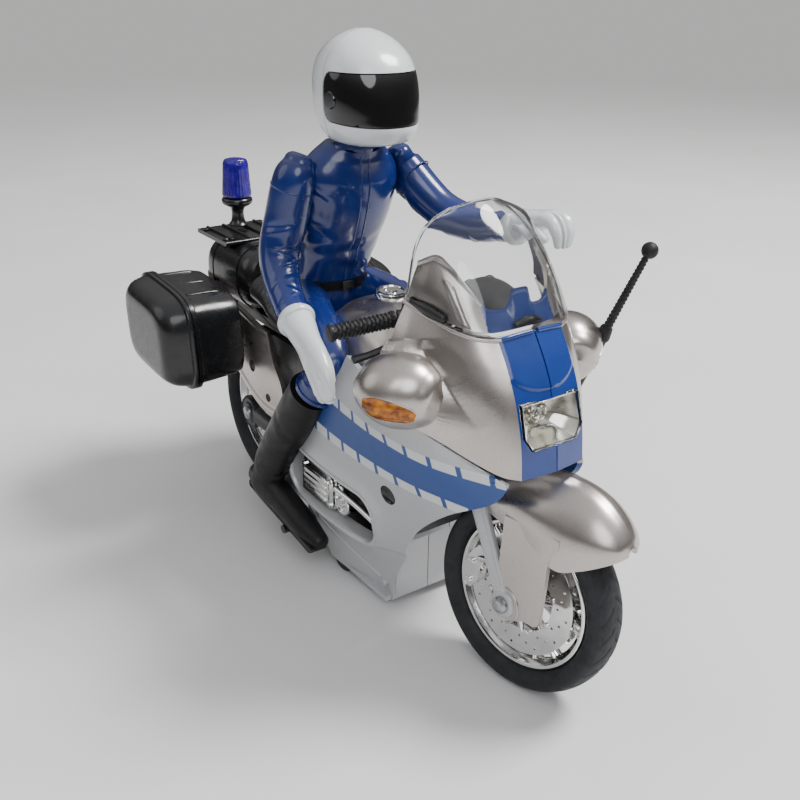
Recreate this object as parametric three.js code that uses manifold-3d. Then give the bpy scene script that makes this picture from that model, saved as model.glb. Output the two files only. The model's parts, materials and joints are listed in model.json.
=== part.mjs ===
// Police touring motorcycle with its rider: a moulded 1:12 toy on a pull-back spring motor.
// Millimetres. +X is forward, +Y is the rider's left, +Z is up, and the tyres stand on z = 0.
import * as THREE from "three";
import { mergeVertices } from "three/addons/utils/BufferGeometryUtils.js";
import Module from "manifold-3d";

const wasm = await Module();
wasm.setup();

// ---------------------------------------------------------------- driving dimensions
const GAP = 0.3; // clearance left between neighbouring mouldings
const RUNNING = 0.1; // clearance round a shaft in its bore
const WALL = 1.4; // wall thickness of the body shells
const FRONT_AXLE = { x: 62, z: 25 };
const REAR_AXLE = { x: -62, z: 27 };
const FRONT_TYRE = { radius: 25, half: 5, bead: 19.4 };
const REAR_TYRE = { radius: 27, half: 6.5, bead: 20.4 };
const AXLE_R = 1.2;
const BORE_R = AXLE_R + RUNNING;
const RAKE = THREE.MathUtils.degToRad(27);
const STEER = THREE.MathUtils.degToRad(10); // the handlebar stands a little to the left
const FORK_OFFSET = 2.5; // fork legs stand this far ahead of the steering axis
const LEG_Y = 9; // lateral place of each fork leg

// ---------------------------------------------------------------- helpers
const v3 = (x, y, z) => new THREE.Vector3(x, y, z);

// A closed three.js geometry as a manifold solid facing outwards.
function solid(geometry, matrix) {
  const plain = geometry.index ? geometry.toNonIndexed() : geometry.clone();
  for (const name of Object.keys(plain.attributes)) {
    if (name !== "position") plain.deleteAttribute(name);
  }
  if (matrix) plain.applyMatrix4(matrix);
  const merged = mergeVertices(plain, 1e-3);
  const triVerts = new Uint32Array(merged.index.array);
  const vertProperties = new Float32Array(merged.attributes.position.array);
  const made = new wasm.Manifold(new wasm.Mesh({ numProp: 3, vertProperties, triVerts }));
  if (made.volume() >= 0) return made;
  for (let i = 0; i < triVerts.length; i += 3) {
    [triVerts[i + 1], triVerts[i + 2]] = [triVerts[i + 2], triVerts[i + 1]];
  }
  return new wasm.Manifold(new wasm.Mesh({ numProp: 3, vertProperties, triVerts }));
}

function geometryOf(made) {
  const mesh = made.getMesh();
  const positions = new Float32Array(mesh.numVert * 3);
  for (let i = 0; i < mesh.numVert; i++) {
    positions.set(mesh.vertProperties.subarray(i * mesh.numProp, i * mesh.numProp + 3), i * 3);
  }
  const geometry = new THREE.BufferGeometry();
  geometry.setAttribute("position", new THREE.BufferAttribute(positions, 3));
  geometry.setIndex(new THREE.BufferAttribute(new Uint32Array(mesh.triVerts), 1));
  geometry.computeVertexNormals();
  return geometry;
}

const place = (x, y, z) => new THREE.Matrix4().makeTranslation(x, y, z);
const union = (...parts) => parts.reduce((a, b) => a.add(b));
const cut = (made, ...tools) => tools.reduce((a, b) => a.subtract(b), made);

// The largest body of a cut piece.
function largest(made) {
  return made.decompose().reduce((a, b) => (a.volume() > b.volume() ? a : b));
}

// The same solid with every vertex moved out along its normal.
function grown(made, distance = GAP) {
  const geometry = geometryOf(made);
  const position = geometry.attributes.position;
  const normal = geometry.attributes.normal;
  for (let i = 0; i < position.count; i++) {
    position.setXYZ(
      i,
      position.getX(i) + normal.getX(i) * distance,
      position.getY(i) + normal.getY(i) * distance,
      position.getZ(i) + normal.getZ(i) * distance,
    );
  }
  return solid(geometry);
}

function box(x0, x1, y0, y1, z0, z1) {
  const geometry = new THREE.BoxGeometry(x1 - x0, y1 - y0, z1 - z0);
  return solid(geometry, place((x0 + x1) / 2, (y0 + y1) / 2, (z0 + z1) / 2));
}

// A box with its long edges rounded, drawn in X and Z and extruded along Y.
function slab(x0, x1, y0, y1, z0, z1, r, steps = 1) {
  const shape = roundedOutline(x0, x1, z0, z1, r);
  return extrudeY(shape, y0, y1, steps);
}

function roundedOutline(x0, x1, z0, z1, r) {
  const shape = new THREE.Shape();
  shape.moveTo(x0 + r, z0);
  shape.lineTo(x1 - r, z0);
  shape.absarc(x1 - r, z0 + r, r, -Math.PI / 2, 0);
  shape.lineTo(x1, z1 - r);
  shape.absarc(x1 - r, z1 - r, r, 0, Math.PI / 2);
  shape.lineTo(x0 + r, z1);
  shape.absarc(x0 + r, z1 - r, r, Math.PI / 2, Math.PI);
  shape.lineTo(x0, z0 + r);
  shape.absarc(x0 + r, z0 + r, r, Math.PI, 1.5 * Math.PI);
  return shape;
}

// An outline drawn in X and Z, extruded between two values of Y.
function extrudeY(shape, y0, y1, steps = 3) {
  const geometry = new THREE.ExtrudeGeometry(shape, {
    depth: y1 - y0,
    bevelEnabled: false,
    curveSegments: steps,
  });
  const turn = new THREE.Matrix4().makeRotationX(Math.PI / 2);
  return solid(geometry, place(0, y1, 0).multiply(turn));
}

// A turned solid about Y, with a flat at its lowest place. Points are (radius, y).
function turned(points, segments, x = 0, y = 0, z = 0) {
  const profile = points.map(([r, h]) => new THREE.Vector2(r, h));
  return solid(new THREE.LatheGeometry(profile, segments, Math.PI / segments), place(x, y, z));
}

// A plain cylinder between two points.
function rod(a, b, radius, segments = 12, endRadius = radius) {
  const along = new THREE.Vector3().subVectors(b, a);
  const geometry = new THREE.CylinderGeometry(endRadius, radius, along.length(), segments);
  const turn = new THREE.Quaternion().setFromUnitVectors(v3(0, 1, 0), along.clone().normalize());
  const middle = new THREE.Vector3().addVectors(a, b).multiplyScalar(0.5);
  return solid(geometry, new THREE.Matrix4().compose(middle, turn, v3(1, 1, 1)));
}

// One value of a uniform Catmull-Rom curve through a list of numbers or vectors, at t from 0 to 1.
function splineAt(values, t) {
  const last = values.length - 1;
  const s = Math.min(Math.max(t, 0), 1) * last;
  const i = Math.min(Math.floor(s), last - 1);
  const u = s - i;
  const at = (k) => values[Math.min(Math.max(k, 0), last)];
  const before = i > 0 ? at(i - 1) : at(0).clone().multiplyScalar(2).sub(at(1));
  const after =
    i + 2 <= last ? at(i + 2) : at(last).clone().multiplyScalar(2).sub(at(last - 1));
  const a = at(i);
  const b = at(i + 1);
  const blend = (p, q, r, w) =>
    0.5 * (2 * q + (r - p) * u + (2 * p - 5 * q + 4 * r - w) * u * u +
      (3 * q - p - 3 * r + w) * u * u * u);
  return v3(
    blend(before.x, a.x, b.x, after.x),
    blend(before.y, a.y, b.y, after.y),
    blend(before.z, a.z, b.z, after.z),
  );
}

// A smooth grid through rows of control points: rows x columns of vectors.
function smoothGrid(rows, nRows, nColumns) {
  const wide = rows.map((row) =>
    Array.from({ length: nColumns }, (_, j) => splineAt(row, j / (nColumns - 1))),
  );
  return Array.from({ length: nRows }, (_, i) =>
    Array.from({ length: nColumns }, (_, j) =>
      splineAt(wide.map((row) => row[j]), i / (nRows - 1)),
    ),
  );
}

function gridNormals(grid) {
  const rows = grid.length;
  const columns = grid[0].length;
  return grid.map((row, i) =>
    row.map((_, j) => {
      const du = grid[Math.min(i + 1, rows - 1)][j].clone().sub(grid[Math.max(i - 1, 0)][j]);
      const dv = row[Math.min(j + 1, columns - 1)].clone().sub(row[Math.max(j - 1, 0)]);
      return du.cross(dv).normalize();
    }),
  );
}

// A sheet of even thickness: the grid is its outer face, and inner points lie opposite the normals.
function sheet(grid, thickness, flip = false) {
  const normals = gridNormals(grid);
  const rows = grid.length;
  const columns = grid[0].length;
  const side = flip ? thickness : -thickness;
  const inner = grid.map((row, i) =>
    row.map((p, j) => p.clone().addScaledVector(normals[i][j], side)),
  );
  const points = [...grid.flat(), ...inner.flat()];
  const at = (i, j) => i * columns + j;
  const base = rows * columns;
  const faces = [];
  const quad = (a, b, c, d) => faces.push(a, b, c, a, c, d);
  for (let i = 0; i < rows - 1; i++) {
    for (let j = 0; j < columns - 1; j++) {
      quad(at(i, j), at(i + 1, j), at(i + 1, j + 1), at(i, j + 1));
      quad(base + at(i, j), base + at(i, j + 1), base + at(i + 1, j + 1), base + at(i + 1, j));
    }
  }
  for (let j = 0; j < columns - 1; j++) {
    quad(at(0, j), at(0, j + 1), base + at(0, j + 1), base + at(0, j));
    quad(at(rows - 1, j), base + at(rows - 1, j), base + at(rows - 1, j + 1), at(rows - 1, j + 1));
  }
  for (let i = 0; i < rows - 1; i++) {
    quad(at(i, 0), base + at(i, 0), base + at(i + 1, 0), at(i + 1, 0));
    const j = columns - 1;
    quad(at(i, j), at(i + 1, j), base + at(i + 1, j), base + at(i, j));
  }
  return solidFromFaces(points, faces);
}

function solidFromFaces(points, faces) {
  const geometry = new THREE.BufferGeometry();
  const flat = new Float32Array(points.flatMap((p) => [p.x, p.y, p.z]));
  geometry.setAttribute("position", new THREE.BufferAttribute(flat, 3));
  geometry.setIndex(faces);
  return solid(geometry);
}

// A closed body through rings of points, with a flat cap on each end ring.
function loft(rings) {
  const count = rings[0].length;
  const points = rings.flat();
  const faces = [];
  for (let i = 0; i < rings.length - 1; i++) {
    for (let j = 0; j < count; j++) {
      const a = i * count + j;
      const b = i * count + ((j + 1) % count);
      faces.push(a, b, b + count, a, b + count, a + count);
    }
  }
  for (const [start, turn] of [[0, 1], [(rings.length - 1) * count, 0]]) {
    const ring = rings[start / count];
    const middle = ring.reduce((sum, p) => sum.add(p), v3(0, 0, 0)).multiplyScalar(1 / count);
    points.push(middle);
    for (let j = 0; j < count; j++) {
      const a = start + j;
      const b = start + ((j + 1) % count);
      faces.push(...(turn ? [points.length - 1, b, a] : [points.length - 1, a, b]));
    }
  }
  return solidFromFaces(points, faces);
}

// A limb or bent bar: stations are [point, half width across, half depth]; `across` is its wide way.
function limb(stations, across, sides = 10, steps = 3) {
  const centres = stations.map((s) => s[0]);
  const sizes = stations.map((s) => v3(s[1], s[2], 0));
  const n = (stations.length - 1) * steps + 1;
  const rings = [];
  for (let i = 0; i < n; i++) {
    const t = i / (n - 1);
    const centre = splineAt(centres, t);
    const size = splineAt(sizes, t);
    const ahead = splineAt(centres, Math.min(t + 0.01, 1));
    const behind = splineAt(centres, Math.max(t - 0.01, 0));
    const along = ahead.sub(behind).normalize();
    const wide = across.clone().addScaledVector(along, -across.dot(along)).normalize();
    const deep = new THREE.Vector3().crossVectors(along, wide);
    rings.push(
      Array.from({ length: sides }, (_, k) => {
        const a = (2 * Math.PI * k) / sides;
        return centre
          .clone()
          .addScaledVector(wide, Math.cos(a) * Math.max(size.x, 0.2))
          .addScaledVector(deep, Math.sin(a) * Math.max(size.y, 0.2));
      }),
    );
  }
  return loft(rings);
}

const mirrorY = (made) => made.mirror([0, 1, 0]);
const mirrored = (row) => [
  ...row.slice(1).reverse().map((p) => v3(p.x, -p.y, p.z)),
  ...row,
];
const points = (rows) => rows.map((row) => row.map(([x, y, z]) => v3(x, y, z)));

// ---------------------------------------------------------------- materials and nodes
const colours = {
  silver: { color: 0xb9b3ab, roughness: 0.32, metalness: 0.75 },
  greySilver: { color: 0xa9abae, roughness: 0.42, metalness: 0.45 },
  chrome: { color: 0xd8d8da, roughness: 0.1, metalness: 1 },
  steel: { color: 0x8f9296, roughness: 0.3, metalness: 1 },
  black: { color: 0x17191c, roughness: 0.45, metalness: 0 },
  rubber: { color: 0x1f2226, roughness: 0.8, metalness: 0 },
  clear: { color: 0xeef2f4, roughness: 0.05, metalness: 0, transparent: true, opacity: 0.3 },
  amber: { color: 0xc56a12, roughness: 0.15, metalness: 0 },
  blueLens: { color: 0x2a12b0, roughness: 0.15, metalness: 0 },
  redLens: { color: 0x9c1410, roughness: 0.2, metalness: 0 },
  suit: { color: 0x1c3a8c, roughness: 0.3, metalness: 0 },
  white: { color: 0xdfe6ea, roughness: 0.22, metalness: 0 },
  gear: { color: 0xe8e4d8, roughness: 0.5, metalness: 0 },
};
const materials = Object.fromEntries(
  Object.entries(colours).map(([name, c]) => [name, new THREE.MeshStandardMaterial(c)]),
);

const model = new THREE.Group();
const steering = new THREE.Group();
model.add(steering);

function node(name, made, material, group = model) {
  const mesh = new THREE.Mesh(geometryOf(made), materials[material]);
  mesh.name = name;
  group.add(mesh);
}

// ---------------------------------------------------------------- steering geometry
const steerAxis = v3(-Math.sin(RAKE), 0, Math.cos(RAKE));
const steerPivot = v3(
  FRONT_AXLE.x - FORK_OFFSET * Math.cos(RAKE),
  0,
  FRONT_AXLE.z - FORK_OFFSET * Math.sin(RAKE),
);
steering.position.copy(steerPivot);
steering.quaternion.setFromAxisAngle(steerAxis, STEER);
const fork = new THREE.Group(); // children are drawn pointing straight ahead
fork.position.copy(steerPivot).negate();
steering.add(fork);
const onAxis = (distance, y = 0) => steerPivot.clone().addScaledVector(steerAxis, distance).setY(y);
const onLeg = (distance, y) =>
  v3(FRONT_AXLE.x, y, FRONT_AXLE.z).addScaledVector(steerAxis, distance);

// ---------------------------------------------------------------- wheels
// The corner radius of a facetted wheel whose flats lie on the given radius.
const corner = (radius, segments) => radius / Math.cos(Math.PI / segments);

// A road tyre: bead, bulged sidewalls and a round tread.
function tyre({ radius: rolling, half, bead }, segments) {
  const radius = corner(rolling, segments);
  const depth = radius - bead;
  return turned(
    [
      [bead, -half * 0.62],
      [bead + depth * 0.3, -half * 0.92],
      [bead + depth * 0.6, -half],
      [bead + depth * 0.84, -half * 0.82],
      [radius - depth * 0.05, -half * 0.46],
      [radius, -half * 0.16],
      [radius, half * 0.16],
      [radius - depth * 0.05, half * 0.46],
      [bead + depth * 0.84, half * 0.82],
      [bead + depth * 0.6, half],
      [bead + depth * 0.3, half * 0.92],
      [bead, half * 0.62],
      [bead, -half * 0.62],
    ],
    segments,
  );
}

// A cast wheel: barrel, hub, spokes and a brake disc on each side.
function rim(radius, half, spokes, disc) {
  const bed = radius - 2.4;
  const barrel = turned(
    [
      [radius, -half],
      [radius, half],
      [radius - 1.2, half],
      [bed, half - 1.6],
      [bed, 1.6 - half],
      [radius - 1.2, -half],
      [radius, -half],
    ],
    20,
  );
  const hub = turned(
    [
      [BORE_R, -half],
      [3.6, -half],
      [4.2, 1 - half],
      [4.2, half - 1],
      [3.6, half],
      [BORE_R, half],
      [BORE_R, -half],
    ],
    16,
  );
  const brake = (side) =>
    turned(
      [
        [disc - 6, side * 2.2],
        [disc, side * 2.2],
        [disc, side * 3],
        [disc - 6, side * 3],
        [disc - 6, side * 2.2],
      ],
      20,
    );
  const arms = Array.from({ length: spokes }, (_, k) => {
    const turn = new THREE.Matrix4().makeRotationY((2 * Math.PI * k) / spokes);
    const length = bed + 0.6 - 3.8;
    return solid(new THREE.BoxGeometry(length, 4.6, 2.6), turn.multiply(place(3.8 + length / 2, 0, 0)));
  });
  return union(barrel, hub, brake(1), brake(-1), ...arms);
}

const wheel = new THREE.Group();
wheel.position.set(FRONT_AXLE.x, 0, FRONT_AXLE.z);
fork.add(wheel);
const frontRimR = FRONT_TYRE.bead - GAP;
const rearRimR = REAR_TYRE.bead - GAP;
node("front_rim", rim(frontRimR, 3.4, 6, 15.4), "chrome", wheel);
node("front_tyre", tyre(FRONT_TYRE, 28), "rubber", wheel);
const rearWheel = new THREE.Group();
rearWheel.position.set(REAR_AXLE.x, 0, REAR_AXLE.z);
model.add(rearWheel);
node("rear_rim", rim(rearRimR, 4.4, 6, 15.4), "chrome", rearWheel);
node("rear_tyre", tyre(REAR_TYRE, 28), "rubber", rearWheel);

// An axle pin with a domed head at each end.
function axlePin(reach, head) {
  return turned(
    [
      [0, -reach],
      [head * 0.8, -reach],
      [head, 0.5 - reach],
      [head, 1.1 - reach],
      [AXLE_R, 1.1 - reach],
      [AXLE_R, reach - 1.1],
      [head, reach - 1.1],
      [head, reach - 0.5],
      [head * 0.8, reach],
      [0, reach],
    ],
    14,
  );
}
node("front_axle", axlePin(11.6, 2.1), "steel", wheel);
node("rear_axle", axlePin(12.4, 2.2), "steel", rearWheel);

// ---------------------------------------------------------------- fork, fender and handlebar
const LEG_TOP = 36;
function forkLeg(side) {
  const y = side * LEG_Y;
  const leg = limb(
    [
      [onLeg(0, y), 2.3, 1.2],
      [onLeg(14, y), 2.2, 1.2],
      [onLeg(LEG_TOP - 0.5, y), 2.5, 1.3],
    ],
    v3(1, 0, 0.5),
    10,
    2,
  );
  const boss = turned(
    [[0, -1.3], [3.2, -1.3], [3.5, -0.9], [3.5, 0.9], [3.2, 1.3], [0, 1.3]],
    16,
    FRONT_AXLE.x,
    y,
    FRONT_AXLE.z,
  );
  const bore = rod(v3(FRONT_AXLE.x, y - 4, FRONT_AXLE.z), v3(FRONT_AXLE.x, y + 4, FRONT_AXLE.z), BORE_R, 16);
  return cut(union(leg, boss), bore);
}
const legRight = forkLeg(-1);
const legLeft = forkLeg(1);
node("fork_leg_right", legRight, "greySilver", fork);
node("fork_leg_left", legLeft, "greySilver", fork);

// The front fender: a beak over the wheel with a plate down each side to the axle.
const FENDER = {
  x: [51, 57, 63, 69, 75, 80, 84, 86.6, 87.8],
  top: [53.8, 56.4, 58, 58.7, 58.3, 56.6, 53.8, 51, 48.9],
  half: [8.6, 9.2, 9.6, 9.8, 9.5, 8.5, 6.7, 4.3, 1.5],
  edge: [46, 45, 43.5, 41.5, 40, 42, 44.2, 45.8, 46.8],
};
const numberAt = (values, t) => splineAt(values.map((n) => v3(n, 0, 0)), t).x;
function fenderGrid(nx, ny) {
  const profile = [0, 0.34, 0.68, 0.92, 1, 1, 0.98]; // width shares from the crown to the lower edge
  const drop = [0, 0.05, 0.2, 0.42, 0.62, 0.82, 1]; // depth shares at the same places
  return Array.from({ length: nx }, (_, i) => {
    const t = i / (nx - 1);
    const x = numberAt(FENDER.x, t);
    const top = numberAt(FENDER.top, t);
    const half = numberAt(FENDER.half, t);
    const edge = numberAt(FENDER.edge, t);
    return Array.from({ length: ny }, (_, j) => {
      const s = (2 * j) / (ny - 1) - 1;
      const w = numberAt(profile, Math.abs(s)) * half;
      const z = top - numberAt(drop, Math.abs(s)) * (top - edge);
      return v3(x, Math.sign(s) * w, z);
    });
  });
}
function fender() {
  const cover = sheet(fenderGrid(12, 11), 1.2, false);
  const plate = (side) => slab(59.6, 72.6, side * 9.1 - 0.6, side * 9.1 + 0.6, 23.5, 47, 1);
  const whole = union(cover, plate(1), plate(-1));
  const tyreRoom = turned([[0, -6], [26.2, -6], [26.2, 6], [0, 6]], 32, FRONT_AXLE.x, 0, FRONT_AXLE.z);
  return largest(cut(whole, grown(legRight), grown(legLeft), tyreRoom));
}
node("front_fender", fender(), "silver", fork);

// The yoke joins the legs; its stem rises through the steering head to the handlebar.
function yoke() {
  const bridge = limb(
    [[onAxis(LEG_TOP + 1.6, -10.6), 3.6, 1.5], [onAxis(LEG_TOP + 1.6, 10.6), 3.6, 1.5]],
    v3(1, 0, 0.5),
    8,
    1,
  );
  const stem = rod(onAxis(LEG_TOP + 1), onAxis(66.4), 2, 14);
  return union(bridge, stem);
}
node("fork_yoke", yoke(), "black", fork);

const BAR = {
  inner: v3(23, 13, 85.4),
  outer: v3(17.6, 28.4, 82.8),
  radius: 1.25,
  gripRadius: 2.1,
};
const side3 = (p, side) => v3(p.x, p.y * side, p.z);
function barHalf(side) {
  const bar = limb(
    [
      [v3(29, -0.6 * side, 86.2), 1.6, 1.6],
      [v3(28, 6 * side, 87.2), 1.6, 1.6],
      [side3(BAR.inner, side), BAR.radius, BAR.radius],
      [side3(BAR.outer, side), BAR.radius, BAR.radius],
    ],
    v3(1, 0, 0),
    10,
    1,
  );
  const clamp = limb(
    [
      [v3(27, 7.6 * side, 86.6), 3, 2.6],
      [v3(24.6, 11.8 * side, 86.2), 3, 2.6],
    ],
    v3(1, 0, 0),
    8,
    1,
  );
  const lever = limb(
    [
      [v3(27.6, 9.4 * side, 85), 1.5, 1.1],
      [v3(27.6, 14 * side, 82.8), 1.3, 0.9],
      [v3(25.8, 21 * side, 79.6), 1.2, 0.8],
      [v3(23.4, 26.6 * side, 77.6), 1.3, 0.9],
    ],
    v3(1, 0, 0),
    8,
    1,
  );
  return union(bar, clamp, lever);
}
const handlebarHub = rod(onAxis(66.8), onAxis(71.4), 3.4, 12);
node("handlebar", union(barHalf(1), barHalf(-1), handlebarHub), "black", fork);
function grip(side) {
  const inner = side3(BAR.inner, side);
  const outer = side3(BAR.outer, side);
  const along = outer.clone().sub(inner).normalize();
  const start = inner.clone().addScaledVector(along, 0.6);
  const end = outer.clone().addScaledVector(along, 1.2);
  const body = rod(start, end, BAR.gripRadius, 14);
  const holeStart = inner.clone().addScaledVector(along, -1);
  const holeEnd = outer.clone().addScaledVector(along, GAP);
  const hole = rod(holeStart, holeEnd, BAR.radius + GAP, 10);
  return cut(body, hole);
}
node("grip_right", grip(-1), "rubber", fork);
node("grip_left", grip(1), "rubber", fork);

// ---------------------------------------------------------------- frame, engine and swingarm
const frameParts = {
  head: rod(onAxis(48), onAxis(60), 4.2, 14),
  headBore: rod(onAxis(40), onAxis(70), 2 + GAP, 14),
  spine: slab(-40, 33, -4, 4, 52, 60, 2),
  block: slab(-24, 20, -11, 11, 33, 46, 2),
  post: slab(-20, 10, -5, 5, 45, 53, 1),
  cheek: (side) => slab(-24, -10, side > 0 ? 9.2 : -11.2, side > 0 ? 11.2 : -9.2, 7.6, 36, 2),
  pivot: rod(v3(-28.5, -8.2, 26), v3(-28.5, 8.2, 26), 2.6, 12),
  link: slab(-30, -22, -5, 5, 24, 36, 2),
  peg: (side) => rod(v3(-17, side * 9.6, 9.8), v3(-17, side * 24, 9.8), 1.3, 10),
  rail: slab(-78, -36, -5, 5, 57, 60, 1),
  shelf: slab(-43, -34, -11.4, 11.4, 56, 60, 0.5),
  panel: (side) => slab(-44, -21, side > 0 ? 9.8 : -11.4, side > 0 ? 11.4 : -9.8, 40, 60.4, 2),
};
function chassis() {
  const { head, headBore, spine, block, post, cheek, pivot, link, peg, rail, shelf, panel } = frameParts;
  const neck = rod(v3(26, 0, 56), onAxis(54), 3.4, 8);
  const whole = union(
    block, spine, post, rail, head, neck, cheek(1), cheek(-1), pivot, link, peg(1), peg(-1),
    shelf, panel(1), panel(-1),
  );
  return cut(whole, headBore);
}
const frame = chassis();
node("chassis_frame", frame, "black");

// Twin-arm swingarm from its pivot to the rear axle.
function swingarm() {
  const arm = (side) =>
    limb(
      [
        [v3(-27, side * 9.9, 26), 3.2, 1.4],
        [v3(-46, side * 9.9, 26.8), 3, 1.4],
        [v3(REAR_AXLE.x - 1, side * 9.9, REAR_AXLE.z), 3.6, 1.4],
      ],
      v3(0, 0, 1),
      8,
      2,
    );
  const bridge = slab(-34.4, -31.6, -10, 10, 23.5, 29.5, 1);
  const housing = turned(
    [[0, -1.2], [5, -1.2], [5.6, -0.6], [5.6, 0.7], [4.6, 1.3], [0, 1.3]],
    16, REAR_AXLE.x, -9.9, REAR_AXLE.z,
  );
  const bore = rod(v3(REAR_AXLE.x, -14, REAR_AXLE.z), v3(REAR_AXLE.x, 14, REAR_AXLE.z), BORE_R, 16);
  return cut(union(arm(1), arm(-1), bridge, housing), bore);
}
const arm = swingarm();
node("swingarm", largest(cut(arm, grown(frame))), "black");

// Exhaust silencer on the left side.
const silencer = limb(
  [
    [v3(-24, 15, 15), 2.2, 2.2],
    [v3(-34, 15.4, 16.4), 4, 3.4],
    [v3(-62, 16.2, 21), 4.6, 3.8],
    [v3(-80, 16.6, 24.4), 4, 3.4],
  ],
  v3(0, 0, 1),
  12,
  2,
);
node("silencer", silencer, "chrome");

// Flat-twin cylinder head standing out of each side.
function cylinder(side) {
  const y = (a) => side * a;
  const low = Math.min(y(11.6), y(18.6));
  const high = Math.max(y(11.6), y(18.6));
  const cover = slab(-15.5, 0.4, low, high, 22.4, 32.6, 2.4);
  const pipe = rod(v3(4.6, y(11.6), 27), v3(4.6, y(17.6), 27), 3.6, 14);
  const link = slab(-2, 5, Math.min(y(11.6), y(15.6)), Math.max(y(11.6), y(15.6)), 24.6, 29.6, 1);
  const barStart = v3(3, y(17.6), 31);
  const bar = limb([[barStart, 0.9, 1.1], [v3(20, y(16.2), 28.4), 0.9, 1.1]], v3(0, 0, 1), 6, 1);
  return union(cover, pipe, link, bar, rod(v3(4.6, y(15), 28.6), v3(4.6, y(17.8), 31.2), 1.6, 8));
}
node("cylinder_head_right", cylinder(-1), "chrome");
node("cylinder_head_left", cylinder(1), "chrome");

// ---------------------------------------------------------------- pull-back spring motor
const MODULE = 0.7;
const TEETH = { pinion: 8, wheel: 18, barrel: 20 };
const ROLLER_R = 5.2;
const DRIVE = { x: -2, z: ROLLER_R };
const pitch = (teeth) => (teeth * MODULE) / 2;
const WHEEL_BEARING = THREE.MathUtils.degToRad(50);
const BARREL_BEARING = THREE.MathUtils.degToRad(78);
const wheelReach = pitch(TEETH.pinion) + pitch(TEETH.wheel);
const barrelReach = pitch(TEETH.pinion) + pitch(TEETH.barrel);
const REDUCTION = {
  x: DRIVE.x + wheelReach * Math.cos(WHEEL_BEARING),
  z: DRIVE.z + wheelReach * Math.sin(WHEEL_BEARING),
};
const BARREL = {
  x: REDUCTION.x + barrelReach * Math.cos(BARREL_BEARING),
  z: REDUCTION.z + barrelReach * Math.sin(BARREL_BEARING),
};

// An involute spur gear in the XZ plane, with a tooth centred on the angle `phase`.
function gear(teeth, centre, y0, y1, phase) {
  const r = pitch(teeth);
  const base = r * Math.cos(THREE.MathUtils.degToRad(20));
  const tip = r + 0.75 * MODULE;
  const root = r - 1.1 * MODULE;
  const involute = (radius) => {
    const a = Math.acos(Math.min(base / radius, 1));
    return Math.tan(a) - a;
  };
  const halfTooth = (0.8 * Math.PI * MODULE) / (4 * r);
  const halfAt = (radius) => halfTooth + involute(r) - involute(Math.max(radius, base));
  const radii = [root, r, tip];
  const shape = new THREE.Shape();
  for (let k = 0; k < teeth; k++) {
    const middle = phase + (2 * Math.PI * k) / teeth;
    const flank = [
      ...radii.map((radius) => [radius, middle - halfAt(radius)]),
      ...radii.slice().reverse().map((radius) => [radius, middle + halfAt(radius)]),
    ];
    for (const [radius, a] of flank) {
      const x = centre.x + radius * Math.cos(a);
      const z = centre.z + radius * Math.sin(a);
      if (shape.curves.length || shape.currentPoint.x || shape.currentPoint.y) shape.lineTo(x, z);
      else shape.moveTo(x, z);
    }
  }
  return extrudeY(shape, y0, y1);
}
const shaft = (centre, y0, y1, radius, segments = 12) =>
  rod(v3(centre.x, y0, centre.z), v3(centre.x, y1, centre.z), radius, segments);

const PLANE = { first: [-6, -3.2], second: [-2.6, 0.4] };
const CASE = { x0: -9, x1: 16.6, y0: -8.6, y1: 8.2, z1: 32, wall: 1.2, floor: 3.4 };
const driveAxle = union(
  shaft(DRIVE, -13.4, 13.4, AXLE_R),
  gear(TEETH.pinion, DRIVE, ...PLANE.first, WHEEL_BEARING),
);
node("drive_axle", driveAxle, "steel");
const reduction = union(
  gear(TEETH.wheel, REDUCTION, ...PLANE.first, WHEEL_BEARING + Math.PI + Math.PI / TEETH.wheel),
  gear(TEETH.pinion, REDUCTION, ...PLANE.second, BARREL_BEARING),
  shaft(REDUCTION, CASE.y0 + 0.2, CASE.y1 - 0.2, 1),
  shaft(REDUCTION, -3.4, -2.4, 2),
);
node("reduction_gear", reduction, "gear");
const barrelRing = turned(
  [[5.3, 0.2], [6.1, 0.2], [6.1, 5.2], [5.3, 5.2], [5.3, 0.2]],
  24, BARREL.x, 0, BARREL.z,
);
const barrel = union(
  gear(TEETH.barrel, BARREL, ...PLANE.second, BARREL_BEARING + Math.PI + Math.PI / TEETH.barrel),
  barrelRing,
  shaft(BARREL, CASE.y0 + 0.2, CASE.y1 - 0.2, 1),
);
node("spring_barrel", barrel, "gear");

// The mainspring: a flat spiral strip inside the barrel.
function mainspring() {
  const turns = 3;
  const samples = 40;
  const inside = 1.5;
  const outside = 4.6;
  const half = 0.22;
  const edge = (offset) =>
    Array.from({ length: samples + 1 }, (_, i) => {
      const t = i / samples;
      const r = inside + (outside - inside) * t + offset;
      const a = 2 * Math.PI * turns * t;
      return [BARREL.x + r * Math.cos(a), BARREL.z + r * Math.sin(a)];
    });
  const outline = [...edge(half), ...edge(-half).reverse()];
  const shape = new THREE.Shape();
  outline.forEach(([x, z], i) => (i ? shape.lineTo(x, z) : shape.moveTo(x, z)));
  return extrudeY(shape, 1, 4.6);
}
node("mainspring", mainspring(), "steel");

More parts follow.
